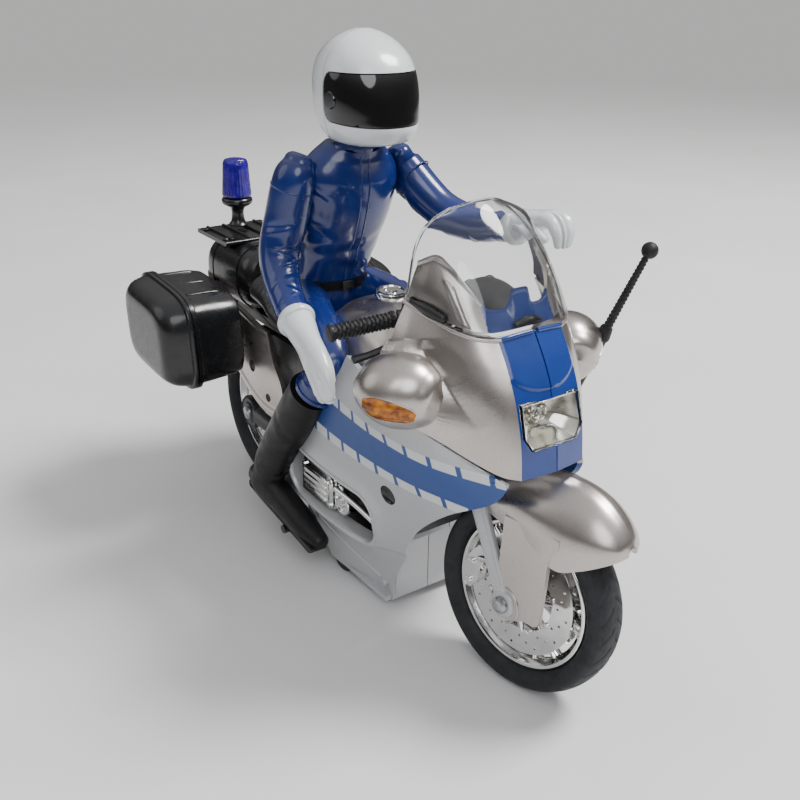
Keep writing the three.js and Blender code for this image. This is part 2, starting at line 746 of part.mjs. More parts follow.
const holes = (y0, y1) =>
  union(
    shaft(DRIVE, y0, y1, BORE_R),
    box(DRIVE.x - BORE_R, DRIVE.x + BORE_R, y0, y1, 0, DRIVE.z),
    shaft(REDUCTION, y0, y1, 1 + GAP),
    shaft(BARREL, y0, y1, 1 + GAP),
  );
function motorCase() {
  const { x0, x1, y0, y1, z1, wall, floor } = CASE;
  const outer = box(x0, x1, y0, y1 - wall - GAP, floor, z1);
  const inner = box(x0 + wall, x1 - wall, y0 + wall, y1, floor - 1, z1 - wall);
  return cut(outer, inner, holes(y0 - 1, y0 + wall + 1));
}
const motorBody = motorCase();
node("motor_case", motorBody, "black");
const coverPlate = cut(
  box(CASE.x0, CASE.x1, CASE.y1 - CASE.wall, CASE.y1, CASE.floor, CASE.z1),
  holes(CASE.y1 - 3, CASE.y1 + 1),
);
node("motor_cover", coverPlate, "black");
function roller(side) {
  const radius = corner(ROLLER_R, 24);
  const bore = AXLE_R + RUNNING;
  const profile = [
    [bore, -1.5],
    [radius - 0.4, -1.5],
    [radius, -1.1],
    [radius, 1.1],
    [radius - 0.4, 1.5],
    [bore, 1.5],
    [bore, -1.5],
  ];
  return turned(profile, 24, DRIVE.x, side * 11.4, DRIVE.z);
}
node("roller_right", roller(-1), "rubber");
node("roller_left", roller(1), "rubber");

// ---------------------------------------------------------------- body shells
// Left half of the lower fairing, as rows from its bottom edge up and columns from rear to front.
const LOWER = points([
  [[-6, 14.8, 3], [0, 14.6, 3], [8, 13.6, 3], [16, 12.4, 3], [22.4, 11.6, 3]],
  [[-13, 15.6, 12], [-4, 15.8, 12], [6, 15, 12], [16, 13.8, 12], [24, 12.2, 12]],
  [[-20, 16.8, 19.5], [-9, 18, 19.5], [4, 18, 19.5], [18, 16.6, 19.5], [28.6, 13, 19.5]],
  [[-25.5, 17.4, 27.5], [-12, 19.6, 27.5], [4, 19.8, 27.5], [20, 18.2, 27.5], [32, 14, 27]],
  [[-22.5, 17.6, 36.5], [-9, 19.2, 36.5], [8, 19.6, 36.5], [26, 18, 36.5], [38, 14.6, 35]],
  [[-13, 18.2, 46.5], [2, 19.6, 46.5], [18, 19.8, 46.5], [34, 18.4, 46], [49, 14.8, 44.6]],
  [[-3, 18.8, 56.5], [12, 20.4, 56.5], [27, 21, 56.5], [44, 19.2, 54.6], [61.6, 12.6, 53]],
  [[6, 19, 66], [19, 21.4, 65.6], [32, 22.8, 64.6], [48, 19.8, 62], [65, 11.8, 58.6]],
  [[10, 18.4, 73], [20, 21.2, 73], [33, 23.6, 71.6], [47, 21, 66.8], [62, 12.8, 60.2]],
]);
const ENGINE_HOLE = { x0: -20.5, x1: 22.5, z0: 21.2, z1: 36.6, r: 6.4 };
function lowerShell() {
  const side = sheet(smoothGrid(LOWER, 11, 8), WALL);
  const front = slab(20.9, 22.3, 0.15, 11.2, 3.1, 26, 0.4, 1);
  const floor = box(-6, 21.6, 0.15, 13.6, 3.1, 4.5);
  const crown = box(20.9, 30, 0.15, 13, 24.6, 26);
  const engineHole = extrudeY(
    roundedOutline(ENGINE_HOLE.x0, ENGINE_HOLE.x1, ENGINE_HOLE.z0, ENGINE_HOLE.z1, ENGINE_HOLE.r),
    14.5, 26, 5,
  );
  const rollerSlot = box(DRIVE.x - 6.2, DRIVE.x + 6.2, 9, 13.3, 0, 11);
  const axleSlot = box(DRIVE.x - 2, DRIVE.x + 2, -1, 13.9, 0, 9);
  const caseRoom = box(CASE.x0 - 0.3, CASE.x1 + 0.3, -1, 8.9, 2, 33);
  const vent = rod(v3(28.6, 12, 41.4), v3(28.6, 26, 41.4), 2.7, 16);
  const whole = union(side, floor, front, crown);
  return largest(cut(whole, engineHole, rollerSlot, axleSlot, caseRoom, vent));
}
const shellLeft = lowerShell();
node("lower_shell_left", shellLeft, "greySilver");
node("lower_shell_right", mirrorY(shellLeft), "greySilver");

// Left half of the upper fairing: rows from its lower edge to the screen, columns from nose to rear.
const UPPER = points([
  [
    [68.4, 0.15, 60.8], [67, 9.2, 60.4], [63.6, 12.2, 60.8], [58.4, 16, 63.2],
    [52, 20.6, 67], [44.6, 24.2, 70.6], [36, 25.4, 73.4],
  ],
  [
    [67.3, 0.15, 68.6], [66, 9.2, 68.2], [62.4, 12.8, 68.6], [57, 17, 70.2],
    [50.6, 21.4, 73], [43.6, 24.6, 76], [35.6, 25.4, 78.4],
  ],
  [
    [65, 0.15, 77], [63.7, 9.2, 76.6], [60.2, 13.2, 77], [55, 17.4, 78.2],
    [48.6, 21.4, 80.2], [42, 24, 82.2], [35.2, 24.8, 83.8],
  ],
  [
    [61.6, 0.15, 84.2], [60.3, 9.2, 83.8], [57.4, 13, 84.2], [52.8, 16.6, 85.2],
    [46.8, 20, 86.8], [40.8, 22.2, 88.6], [35, 22.8, 89.8],
  ],
  [
    [57.4, 0.15, 90.6], [56.4, 9.2, 89.8], [54, 13, 90.2], [49.8, 16, 91.2],
    [44.4, 18, 92.8], [39.4, 19.4, 94.2], [35, 20, 95.4],
  ],
]);
// Mirror pod, as sections along X: centre Y, centre Z, half width, half height.
const POD = [
  [51.2, 19.8, 75.2, 2.2, 2.6],
  [49.8, 20.8, 75.5, 5.2, 5.8],
  [47.8, 22.2, 76.2, 7.4, 7.8],
  [45, 23.8, 77, 9.2, 9],
  [42, 25, 77.4, 10.6, 8.8],
  [38.6, 25.4, 77.2, 9.6, 7.8],
  [36.2, 25.4, 77, 8, 6.6],
];
function podBody(sides, steps) {
  const stations = POD.map(([x, y, z, w, h]) => [v3(x, y, z), w, h]);
  return limb(stations, v3(0, 1, 0), sides, steps);
}
const HEADLIGHT = { z0: 66.8, z1: 77.2, half: 8.5, low: 6.4 };
function headlightOutline(margin) {
  const { z0, z1, half, low } = HEADLIGHT;
  const shape = new THREE.Shape();
  shape.moveTo(-low - margin, z0 - margin);
  shape.lineTo(low + margin, z0 - margin);
  shape.lineTo(half + margin, z0 + 3.2);
  shape.lineTo(half + margin, z1 + margin);
  shape.lineTo(-half - margin, z1 + margin);
  shape.lineTo(-half - margin, z0 + 3.2);
  return shape;
}
// An outline drawn in Y and Z, extruded between two values of X.
function extrudeX(shape, x0, x1) {
  const geometry = new THREE.ExtrudeGeometry(shape, { depth: x1 - x0, bevelEnabled: false });
  const turn = new THREE.Matrix4().makeBasis(v3(0, 1, 0), v3(0, 0, 1), v3(1, 0, 0));
  return solid(geometry, place(x0, 0, 0).multiply(turn));
}
function indicatorBody(grow) {
  const stations = [
    [v3(42.6, 35.2, 76.7), 0.7 + grow, 1 + grow],
    [v3(44.8, 34.4, 76.3), 1.2 + grow, 2.4 + grow],
    [v3(46.9, 32.1, 76), 1.3 + grow, 2.7 + grow],
    [v3(49.4, 29.4, 75.2), 1.2 + grow, 2 + grow],
    [v3(51.4, 27, 74.4), 0.9 + grow, 1.2 + grow],
    [v3(52.2, 26, 74.1), 0.5 + grow, 0.6 + grow],
  ];
  return limb(stations, v3(0.4, 0.9, 0), 10, 2);
}
const indicatorLeft = indicatorBody(0);
function upperFairing() {
  const cover = sheet(smoothGrid(UPPER, 8, 11), WALL, true);
  const pod = podBody(12, 1);
  const podHollow = limb(
    [[v3(46.4, 25, 76.4), 4.4, 3.8], [v3(42, 26, 77), 7.4, 5.4], [v3(36, 26.2, 77), 6.8, 5]],
    v3(0, 1, 0), 8, 1,
  );
  const lampRoom = extrudeX(headlightOutline(GAP), 58, 72);
  const behind = box(20, 36.8, 0, 40, 55, 99);
  const middle = box(20, 80, -6, 0.15, 50, 99);
  return largest(
    cut(union(cover, pod), podHollow, lampRoom, behind, middle, grown(indicatorLeft), grown(shellLeft)),
  );
}
const fairingLeft = upperFairing();
node("upper_fairing_left", fairingLeft, "silver");
node("upper_fairing_right", mirrorY(fairingLeft), "silver");
node("indicator_left", indicatorLeft, "amber");
node("indicator_right", mirrorY(indicatorLeft), "amber");

// The headlight lens, and the bowl behind it, follow the slope of the nose.
const noseSlope = (z) => {
  const steps = UPPER.map((row) => row[0]);
  const k = steps.findIndex((p, i) => i && p.z >= z);
  const [a, b] = [steps[k - 1], steps[k]];
  return a.x + ((z - a.z) / (b.z - a.z)) * (b.x - a.x);
};
function headlight() {
  const block = extrudeX(headlightOutline(0), 59, 69);
  const { z0, z1 } = HEADLIGHT;
  const face = new THREE.Shape();
  face.moveTo(noseSlope(z0 - 1) - 0.5, z0 - 1);
  face.lineTo(noseSlope(72) - 0.1, 72);
  face.lineTo(noseSlope(z1 + 1) - 0.5, z1 + 1);
  face.lineTo(noseSlope(z1 + 1) - 3.4, z1 + 1);
  face.lineTo(noseSlope(z0 - 1) - 3.4, z0 - 1);
  return block.intersect(extrudeY(face, -12, 12));
}
node("headlight_lens", headlight(), "clear");

// Windscreen: rows from its base to its top edge, columns from the middle to the left edge.
const SCREEN = [
  [
    [57.6, 0, 91.6], [56.6, 9, 90.9], [54.2, 13.4, 91.3], [49.8, 16.4, 92.3],
    [44.4, 18.4, 93.7], [39.6, 19.4, 95.2], [36.6, 19.6, 96.2],
  ],
  [
    [54.1, 0, 98.4], [52.9, 7.9, 98.2], [50.7, 12.2, 98.4], [47.1, 15.3, 99],
    [42.9, 17.4, 99.8], [39.1, 18.5, 100.6], [36.5, 18.8, 101.2],
  ],
  [
    [49.3, 0, 105.2], [48.3, 6.6, 105], [46.5, 10.4, 105], [43.9, 13.4, 105.2],
    [41.1, 15.6, 105.6], [38.3, 17.2, 106], [36.3, 17.7, 106.4],
  ],
  [
    [44.8, 0, 110.6], [44.1, 5.1, 110.4], [42.8, 8.4, 110.3], [41, 11, 110.2],
    [39.2, 13.1, 110.2], [37.4, 14.6, 110.3], [36, 15.4, 110.4],
  ],
  [
    [41, 0, 114.2], [40.6, 3.5, 114], [39.8, 6, 113.8], [38.8, 8, 113.5],
    [37.8, 9.7, 113.2], [36.6, 11.2, 112.9], [35.6, 12.1, 112.6],
  ],
  [
    [38.3, 0, 116.2], [38.1, 1.6, 116.1], [37.8, 3.1, 115.9], [37.4, 4.4, 115.6],
    [36.9, 5.7, 115.2], [36.2, 6.8, 114.8], [35.5, 7.7, 114.4],
  ],
];
const fullRows = (rows) => points(rows).map(mirrored);
const screen = sheet(smoothGrid(fullRows(SCREEN), 9, 17), 1, true);
node("windscreen", screen, "clear");

// Dash cowl: the silver inner fairing with an ear on each side, standing behind the screen.
const COWL = [
  [[55.4, 0, 91.4], [53.8, 9, 91], [51, 13.4, 91.6], [46.4, 16.4, 92.8], [41, 18.4, 94.2], [36.6, 19.4, 95.4]],
  [[54.4, 0, 93.2], [52.6, 8.4, 93.4], [49.8, 12.6, 95.8], [45.6, 15.4, 98], [41, 17.2, 98.6], [37, 18, 98]],
  [
    [53.4, 0, 95], [51.4, 7.8, 95.4], [47.4, 10.8, 101.4], [43.6, 12.6, 105],
    [40.6, 14.4, 105.6], [37.4, 16.4, 101.4],
  ],
];
const cowl = sheet(smoothGrid(fullRows(COWL), 5, 15), 1, true);
const frontParts = [grown(fairingLeft), grown(mirrorY(fairingLeft)), grown(screen)];
node("dash_cowl", largest(cut(cowl, ...frontParts)), "silver");

// Tank cover over the spine, from the seat to the steering head.
const TANK = [
  [[-18, 0, 74], [-18, 6, 73], [-18, 10, 69], [-18, 12, 63]],
  [[-8, 0, 80.4], [-8, 7, 79.2], [-8, 12, 74], [-8, 14, 63]],
  [[4, 0, 83.8], [4, 7.6, 82.4], [4, 12.6, 76.6], [4, 15, 63]],
  [[14, 0, 82.6], [14, 7.2, 81.2], [14, 12, 75.6], [14, 14.6, 63]],
  [[23, 0, 77.6], [23, 6, 76.6], [23, 10, 72.6], [23, 12.6, 63]],
];
const tank = sheet(smoothGrid(fullRows(TANK), 7, 11), 1.6);
node("tank_cover", tank, "silver");

// One long seat with a step up to the passenger's part.
const SEAT = [
  [v3(-19.6, 0, 67.4), 11, 5.2],
  [v3(-30, 0, 65), 12.6, 3.8],
  [v3(-42, 0, 66.4), 12.4, 4.6],
  [v3(-48, 0, 69.4), 12, 6.2],
  [v3(-56, 0, 70.4), 11.6, 6],
];
const seat = limb(SEAT, v3(0, 1, 0), 16, 2);
const seatFloor = box(-60, -18.6, -14, 14, 50, 61);
node("seat", cut(seat, seatFloor), "black");

// Tail cowl: a silver cover under the seat whose sides run down to the swingarm and round the back.
const TAIL = [
  [[-41.6, 13.6, 61.6], [-38.4, 13.8, 53.6], [-33, 14, 45.6], [-33.6, 14.4, 35.6]],
  [[-46, 14.6, 63], [-45, 15, 54], [-43.4, 15.2, 45.6], [-44, 15.2, 36.4]],
  [[-54, 15, 64.8], [-54.4, 15.4, 57], [-54.6, 15.4, 49], [-56, 15, 41]],
  [[-64, 14.6, 66], [-66, 14.8, 60], [-67, 14.6, 54], [-68, 14, 48]],
  [[-80, 13.6, 68], [-82, 13.6, 63], [-83, 13.2, 59], [-83, 12.6, 55]],
  [[-91, 8, 69], [-92, 8, 65], [-92, 7.8, 61.6], [-91.4, 7.4, 58.6]],
  [[-92.6, 0, 69.4], [-93.6, 0, 65.4], [-93.6, 0, 62], [-93, 0, 59.2]],
];
function tailCowl() {
  const left = TAIL.map((row) => row.map(([x, y, z]) => v3(x, y, z)));
  const right = left.slice(0, -1).reverse().map((row) => row.map((p) => v3(p.x, -p.y, p.z)));
  const skin = sheet(smoothGrid([...left, ...right], 17, 5), WALL, true);
  const slots = [-1, 1].flatMap((side) => [
    rod(v3(-41, side * 10, 41), v3(-41, side * 20, 41), 1.3, 10),
    rod(v3(-50, side * 10, 48.6), v3(-50, side * 20, 48.6), 1.9, 12),
  ]);
  return largest(cut(skin, ...slots));
}
const tail = tailCowl();
node("tail_cowl", tail, "silver");

// Tail lamp below the end of the cowl.
node("tail_lamp", slab(-92.4, -90, -6, 6, 52.6, 57.6, 0.8), "redLens");

// ---------------------------------------------------------------- luggage, radio box and beacon
const radio = limb(
  [
    [v3(-57.4, 0, 72), 9.4, 8.4],
    [v3(-62, 0, 71.4), 11.6, 10.2],
    [v3(-74, 0, 70.8), 12, 10.8],
    [v3(-85, 0, 70.8), 11.6, 10.4],
    [v3(-89, 0, 71), 9.6, 8.4],
  ],
  v3(0, 1, 0), 12, 1,
);
const RACK_Z = 80.6;
const rackRoom = box(-100, -50, -20, 20, RACK_Z - 0.6, 100);
const radioBox = cut(radio, rackRoom, grown(cut(seat, seatFloor)), grown(tail));
node("radio_box", largest(radioBox), "black");
function rack() {
  const plate = slab(-92, -71, -11.4, 11.4, RACK_Z, RACK_Z + 1.4, 0.6);
  const bars = [-8.4, -2.8, 2.8, 8.4].map((y) =>
    slab(-90.6, -72.4, y - 0.5, y + 0.5, RACK_Z + 1, RACK_Z + 2.2, 0.4),
  );
  const leg = (x, y) => rod(v3(x, y, 72), v3(x, y, RACK_Z + 0.4), 0.9, 8);
  const legs = union(leg(-88, 10), leg(-88, -10), leg(-74, 10), leg(-74, -10));
  return cut(union(plate, ...bars, legs), box(-100, -50, -20, 20, 60, RACK_Z - 0.1));
}
node("luggage_rack", rack(), "black");

// Blue beacon on its post. Profiles are turned about Z.
const upright = new THREE.Matrix4().makeRotationX(Math.PI / 2);
function turnedZ(profile, segments, x, y, z) {
  const lathe = new THREE.LatheGeometry(profile.map(([r, h]) => new THREE.Vector2(r, h)), segments);
  return solid(lathe, place(x, y, z).multiply(upright));
}
const BEACON = { x: -85, z: RACK_Z + 2.6 };
node(
  "beacon_base",
  turnedZ(
    [[0, 0], [3, 0], [2.3, 1.2], [2, 4.6], [2.6, 6], [4.8, 7.2], [5, 8.6], [4.4, 9.2], [0, 9.2]],
    20, BEACON.x, 0, BEACON.z,
  ),
  "black",
);
node(
  "beacon_lens",
  turnedZ([[0, 9.5], [4.6, 9.5], [4.8, 10.4], [4.1, 20.2], [3.5, 21.2], [0, 21.5]], 20, BEACON.x, 0, BEACON.z),
  "blueLens",
);

// Rubber aerial on the left side of the fairing: sleeve, ribbed whip and ball tip.
const AERIAL = { foot: v3(42.4, 29.4, 63.6), tip: v3(54.8, 39, 103.6) };
function aerial() {
  const { foot, tip } = AERIAL;
  const at = (t) => foot.clone().lerp(tip, t);
  const sleeve = rod(at(0), at(0.4), 1.7, 12);
  const lower = rod(at(0.38), at(0.46), 2, 12, 1.5);
  const whip = rod(at(0.44), at(0.95), 1.25, 10, 1);
  const ball = solid(new THREE.SphereGeometry(2.1, 12, 8), place(...at(0.965).toArray()));
  return union(sleeve, lower, whip, ball);
}
const antennaClearance = [grown(fairingLeft, 0.5), grown(shellLeft), grown(indicatorLeft, 0.5)];
node("antenna", largest(cut(aerial(), ...antennaClearance)), "rubber");

// Pannier: case towards the wheel and lid outside, meeting at a raised rim.
const PANNIER = { x0: -85.6, x1: -49.4, z0: 44.6, z1: 73 };
function pannierRing(y, inset, count = 20) {
  const { x0, x1, z0, z1 } = PANNIER;
  const cx = (x0 + x1) / 2;
  const cz = (z0 + z1) / 2;
  const hx = (x1 - x0) / 2 - inset;
  const hz = (z1 - z0) / 2 - inset * 0.9;
  return Array.from({ length: count }, (_, k) => {
    const a = (2 * Math.PI * (k + 0.5)) / count;
    const c = Math.cos(a);
    const s = Math.sin(a);
    const square = (n) => Math.sign(n) * Math.abs(n) ** 0.45;
    const x = hx * square(c);
    const z = hz * square(s);
    return v3(cx + x - z * 0.1, y, cz + z - x * 0.06);
  });
}
const CASE_RINGS = [[16.4, 3.4], [17.4, 1.6], [24, 0.9], [31, 0.5], [31.6, -0.4], [33, -0.4]];
const LID_RINGS = [[33.3, -0.4], [34.4, -0.4], [34.8, 0.5], [38, 1.2], [40.6, 2.8], [42, 6]];
const pannierPart = (rings) => loft(rings.map(([y, inset]) => pannierRing(y, inset)));
const caseLeft = largest(cut(pannierPart(CASE_RINGS), grown(silencer)));
const lidLeft = pannierPart(LID_RINGS);
node("pannier_case_left", caseLeft, "black");
node("pannier_case_right", mirrorY(caseLeft), "black");
node("pannier_lid_left", lidLeft, "black");
node("pannier_lid_right", mirrorY(lidLeft), "black");

// ---------------------------------------------------------------- rider
const acrossY = v3(0, 1, 0);
const TORSO = [
  [v3(-28.6, 0, 73.4), 10.6, 8.4],
  [v3(-28, 0, 78.4), 11.4, 8.8],
  [v3(-26.4, 0, 84), 10.6, 8.2],
  [v3(-23.6, 0, 92), 11.6, 8.6],
  [v3(-20.4, 0, 102), 13.8, 9.6],
  [v3(-18, 0, 110), 14.6, 9.4],
  [v3(-16.6, 0, 114.6), 13.6, 8.2],
  [v3(-15, 0, 118.4), 10, 6.6],
  [v3(-13.8, 0, 120.8), 7, 5.4],
];
const NECK = { low: v3(-13, 0, 117), high: v3(-13, 0, 126), radius: 4.2 };
const SHOULDER_FACE = 12.9; // the arms turn against flat sides on the torso
const COLLAR_Z = 121.3;
const seatClear = grown(cut(seat, seatFloor));
const torsoBlank = limb(TORSO, acrossY, 16, 1).intersect(
  box(-60, 20, -SHOULDER_FACE, SHOULDER_FACE, 60, COLLAR_Z),
);
const torsoBody = union(torsoBlank, rod(NECK.low, NECK.high, NECK.radius, 14));

const LEG = {
  trouser: [
    [v3(-25, 10.2, 75.4), 7, 7.2],
    [v3(-15, 13.6, 74), 6.6, 6.8],
    [v3(-4, 15.6, 70.4), 5.9, 6.4],
    [v3(0.4, 17, 65.4), 5.8, 6],
    [v3(-4, 18.8, 58.6), 6, 6.2],
  ],
  boot: [
    [v3(-6.2, 19.4, 57.4), 6.1, 6.4],
    [v3(-13, 20.4, 47.6), 5.7, 6.4],
    [v3(-21.4, 21, 36), 4.8, 6.2],
    [v3(-27, 21.4, 27), 4.4, 6.4],
    [v3(-29, 21.6, 21.6), 4.2, 6.4],
  ],
  foot: [
    [v3(-35.4, 21.8, 20), 3.2, 3.6],
    [v3(-30, 21.8, 19), 4.2, 5.4],
    [v3(-20, 21.6, 17.4), 4, 4.6],
    [v3(-9, 21, 14.4), 3.8, 3.4],
    [v3(-2, 20.4, 12.2), 2.8, 2.6],
  ],
};
const saddleClear = [grown(tank), grown(shellLeft), seatClear, grown(frame)];
const bootBlank = union(limb(LEG.boot, acrossY, 10, 1), limb(LEG.foot, acrossY, 10, 1));
const bootClear = [...saddleClear, grown(cylinder(1))];
const bootLeft = largest(cut(bootBlank, ...bootClear, grown(silencer)));
const trouserLeft = largest(
  cut(limb(LEG.trouser, acrossY, 12, 1), ...saddleClear, grown(torsoBody), grown(bootLeft)),
);
node("rider_torso", largest(cut(torsoBody, seatClear, grown(tank))), "suit");
node("rider_leg_left", trouserLeft, "suit");
node("rider_leg_right", mirrorY(trouserLeft), "suit");
node("boot_left", bootLeft, "black");
node("boot_right", mirrorY(largest(cut(bootBlank, ...bootClear))), "black");

// Arms: the right one hangs beside the grip, the left one reaches over it.
const ARM = {
  right: [
    [v3(-17.2, -15.2, 116.4), 3.6, 4.6],
    [v3(-17.4, -16.6, 112.2), 5.3, 6],
    [v3(-19.4, -18.2, 101.6), 5.6, 6.2],
    [v3(-19.6, -20.4, 93.4), 5.4, 5.8],
    [v3(-15.6, -22.4, 87.4), 4.9, 5.2],
    [v3(-8.6, -24.4, 83), 4.4, 4.8],
    [v3(-3.6, -25.3, 80.4), 4.2, 4.4],
  ],
  left: [
    [v3(-17, 15.2, 115.6), 3.6, 4.6],
    [v3(-15.6, 17, 111.4), 5.3, 5.8],
    [v3(-5.4, 21.4, 102.6), 4.9, 5.2],
    [v3(3.6, 25.6, 99.6), 4.6, 4.8],
    [v3(13, 28.6, 100.6), 4, 4.2],
    [v3(17, 29.4, 101.2), 3.8, 4],
  ],
};
const GLOVE = {
  right: [
    [v3(-3, -25.4, 80), 4.6, 4.8],
    [v3(0.8, -25.9, 78.4), 4, 4.2],
    [v3(5.4, -26.5, 76.4), 3.4, 4.2],
    [v3(10, -27.1, 73.8), 3.1, 4.8],
    [v3(13.8, -27.7, 70.8), 2.8, 4.6],
    [v3(16, -28, 67.4), 2.2, 3.8],
    [v3(16.6, -28, 65.4), 1.3, 2.6],
  ],
  left: [
    [v3(17.4, 29.4, 101.3), 4.5, 4.6],
    [v3(20.8, 29.8, 102.4), 4.2, 4],
    [v3(25.6, 30.6, 104.4), 4.2, 2.6],
    [v3(30, 31.2, 105.2), 4.2, 2.3],
    [v3(32.4, 31.4, 102.8), 3.9, 2],
    [v3(32.8, 31.4, 99.4), 2.8, 1.4],
  ],
};
const armRight = limb(ARM.right, acrossY, 12, 1);
const armLeft = limb(ARM.left, acrossY, 12, 1);
const gloveRight = limb(GLOVE.right, acrossY, 12, 1);
const gloveLeft = limb(GLOVE.left, acrossY, 12, 1);
const armRoom = box(-60, 40, -SHOULDER_FACE - GAP, SHOULDER_FACE + GAP, 60, 130);
node("arm_right", cut(armRight, armRoom), "suit");
node("arm_left", cut(armLeft, armRoom), "suit");
node("glove_right", largest(cut(gloveRight, grown(armRight))), "white");
node("glove_left", largest(cut(gloveLeft, grown(armLeft))), "white");

// Helmet in two halves with a dark visor wrapped round the front.
// Rings from the neck up: height, front X, rear X, half width.
const HELMET = [
  [121.7, 0.6, -18.6, 7.6],
  [122.8, 3.4, -20.6, 9.8],
  [125.4, 5, -22.6, 11.4],
  [129, 5, -23.8, 12.1],
  [134, 4.5, -24.4, 12.4],
  [138.6, 3.3, -24, 12],
  [142.4, 1, -22.2, 10.8],
  [145.6, -2.8, -18.9, 8.2],
  [147.7, -6.8, -14.8, 4.8],
  [148.6, -9.4, -12.2, 1.8],
];
function helmetShell(inset, sides = 20) {
  const ring = ([z, front, back, half]) => {
    const middle = (front + back) / 2 + (front - back) * 0.04;
    const ahead = front - inset - middle;
    const behind = middle - back - inset;
    return Array.from({ length: sides }, (_, k) => {
      const a = (2 * Math.PI * (k + 0.5)) / sides;
      const square = (n) => Math.sign(n) * Math.abs(n) ** 0.86;
      const reach = Math.cos(a) > 0 ? ahead : behind;
      return v3(middle + reach * square(Math.cos(a)), (half - inset) * square(Math.sin(a)), z);
    });
  };
  return loft(HELMET.map(ring));
}
const VISOR = { x: -9.6, z0: 127.6, z1: 139 };
function helmetParts() {
  const neckRoom = rod(NECK.low, v3(NECK.high.x, 0, NECK.high.z + 2), NECK.radius + 0.5, 14);
  const full = helmetShell(0);
  const whole = cut(full, neckRoom);
  const core = helmetShell(1.4);
  const frontOf = (x, z0 = 100, z1 = 160) => box(x, 30, -20, 20, z0, z1);
  const visor = full.intersect(frontOf(VISOR.x + GAP, VISOR.z0, VISOR.z1)).subtract(core);
  const pocket = frontOf(VISOR.x - 1, VISOR.z0 - GAP, VISOR.z1 + GAP).subtract(grown(core, -GAP));
  return {
    rear: largest(whole.subtract(frontOf(VISOR.x - GAP))),
    front: largest(whole.intersect(frontOf(VISOR.x)).subtract(pocket)),
    visor: largest(visor),
  };
}
const helmet = helmetParts();
node("helmet_rear", helmet.rear, "white");
node("helmet_front", helmet.front, "white");
node("visor", helmet.visor, "black");

// ---------------------------------------------------------------- the finished group
// The origin is the middle of the model's box, on the ground.
model.updateMatrixWorld(true);
const bounds = new THREE.Box3().setFromObject(model);
model.position.set(-(bounds.min.x + bounds.max.x) / 2, 0, 0);

const part = new THREE.Group();
part.add(model);
export default part;
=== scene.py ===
"""Looks for a moulded patrol motorcycle with its rider.

Lengths are in millimetres until a mesh is made. +X is forward, +Y is the rider's left and +Z is
up. Pieces on the fork are drawn pointing straight ahead, then turned.
"""

import json
import math

import bmesh
import bpy
import numpy as np
from mathutils import Matrix, Vector
from mathutils.bvhtree import BVHTree


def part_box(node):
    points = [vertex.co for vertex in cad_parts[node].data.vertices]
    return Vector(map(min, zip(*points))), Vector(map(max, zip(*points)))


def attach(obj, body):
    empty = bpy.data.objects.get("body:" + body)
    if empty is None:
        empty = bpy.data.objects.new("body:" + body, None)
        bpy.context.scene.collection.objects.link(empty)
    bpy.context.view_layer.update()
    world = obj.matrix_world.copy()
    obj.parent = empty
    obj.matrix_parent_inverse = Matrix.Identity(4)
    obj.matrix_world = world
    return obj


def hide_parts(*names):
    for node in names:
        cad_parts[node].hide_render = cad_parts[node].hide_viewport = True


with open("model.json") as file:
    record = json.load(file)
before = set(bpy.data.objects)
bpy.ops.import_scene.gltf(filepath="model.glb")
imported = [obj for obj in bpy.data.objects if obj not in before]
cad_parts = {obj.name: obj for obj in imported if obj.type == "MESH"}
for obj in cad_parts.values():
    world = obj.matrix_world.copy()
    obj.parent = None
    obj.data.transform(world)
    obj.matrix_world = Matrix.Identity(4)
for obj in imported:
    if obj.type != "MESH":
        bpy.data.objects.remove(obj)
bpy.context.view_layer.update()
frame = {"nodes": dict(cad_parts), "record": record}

MM = 0.001
REAR_AXLE = (-62.0, 0.0, 27.0)
FRONT_AXLE = (62.0, 0.0, 25.0)
axle_low, axle_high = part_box("rear_axle")
SHIFT = (axle_low.x + axle_high.x) / 2 / MM - REAR_AXLE[0]  # the CAD centres its box on the origin
RAKE = math.radians(27)
STEER = math.radians(10)
FORK_OFFSET = 2.5
GAP = 0.3
STEER_AXIS = np.array([-math.sin(RAKE), 0.0, math.cos(RAKE)])
STEER_PIVOT = np.array(
    [
        FRONT_AXLE[0] - FORK_OFFSET * math.cos(RAKE), 0.0,
        FRONT_AXLE[2] - FORK_OFFSET * math.sin(RAKE),
    ]
)
BODY_OF = {n: b for b, names in frame["record"]["behaviour"]["bodies"].items() for n in names}


# --------------------------------------------- curves and meshes
def vec(*numbers):
    return np.array(numbers, float)


def unit(v):
    return v / max(np.linalg.norm(v), 1e-12)


def spline_at(values, t):
    """Uniform Catmull-Rom through rows of numbers, at t from 0 to 1."""
    values = np.asarray(values, float)
    if values.ndim == 1:
        return spline_at(values[:, None], t)[0]
    last = len(values) - 1
    s = min(max(t, 0.0), 1.0) * last
    i = min(int(s), last - 1)
    u = s - i
    a, b = values[i], values[i + 1]
    before = values[i - 1] if i > 0 else 2 * values[0] - values[1]
    after = values[i + 2] if i + 2 <= last else 2 * values[last] - values[last - 1]
    return 0.5 * (
        2 * a + (b - before) * u + (2 * before - 5 * a + 4 * b - after) * u * u + (
            3 * a - before - 3 * b + after
        ) * u**3
    )


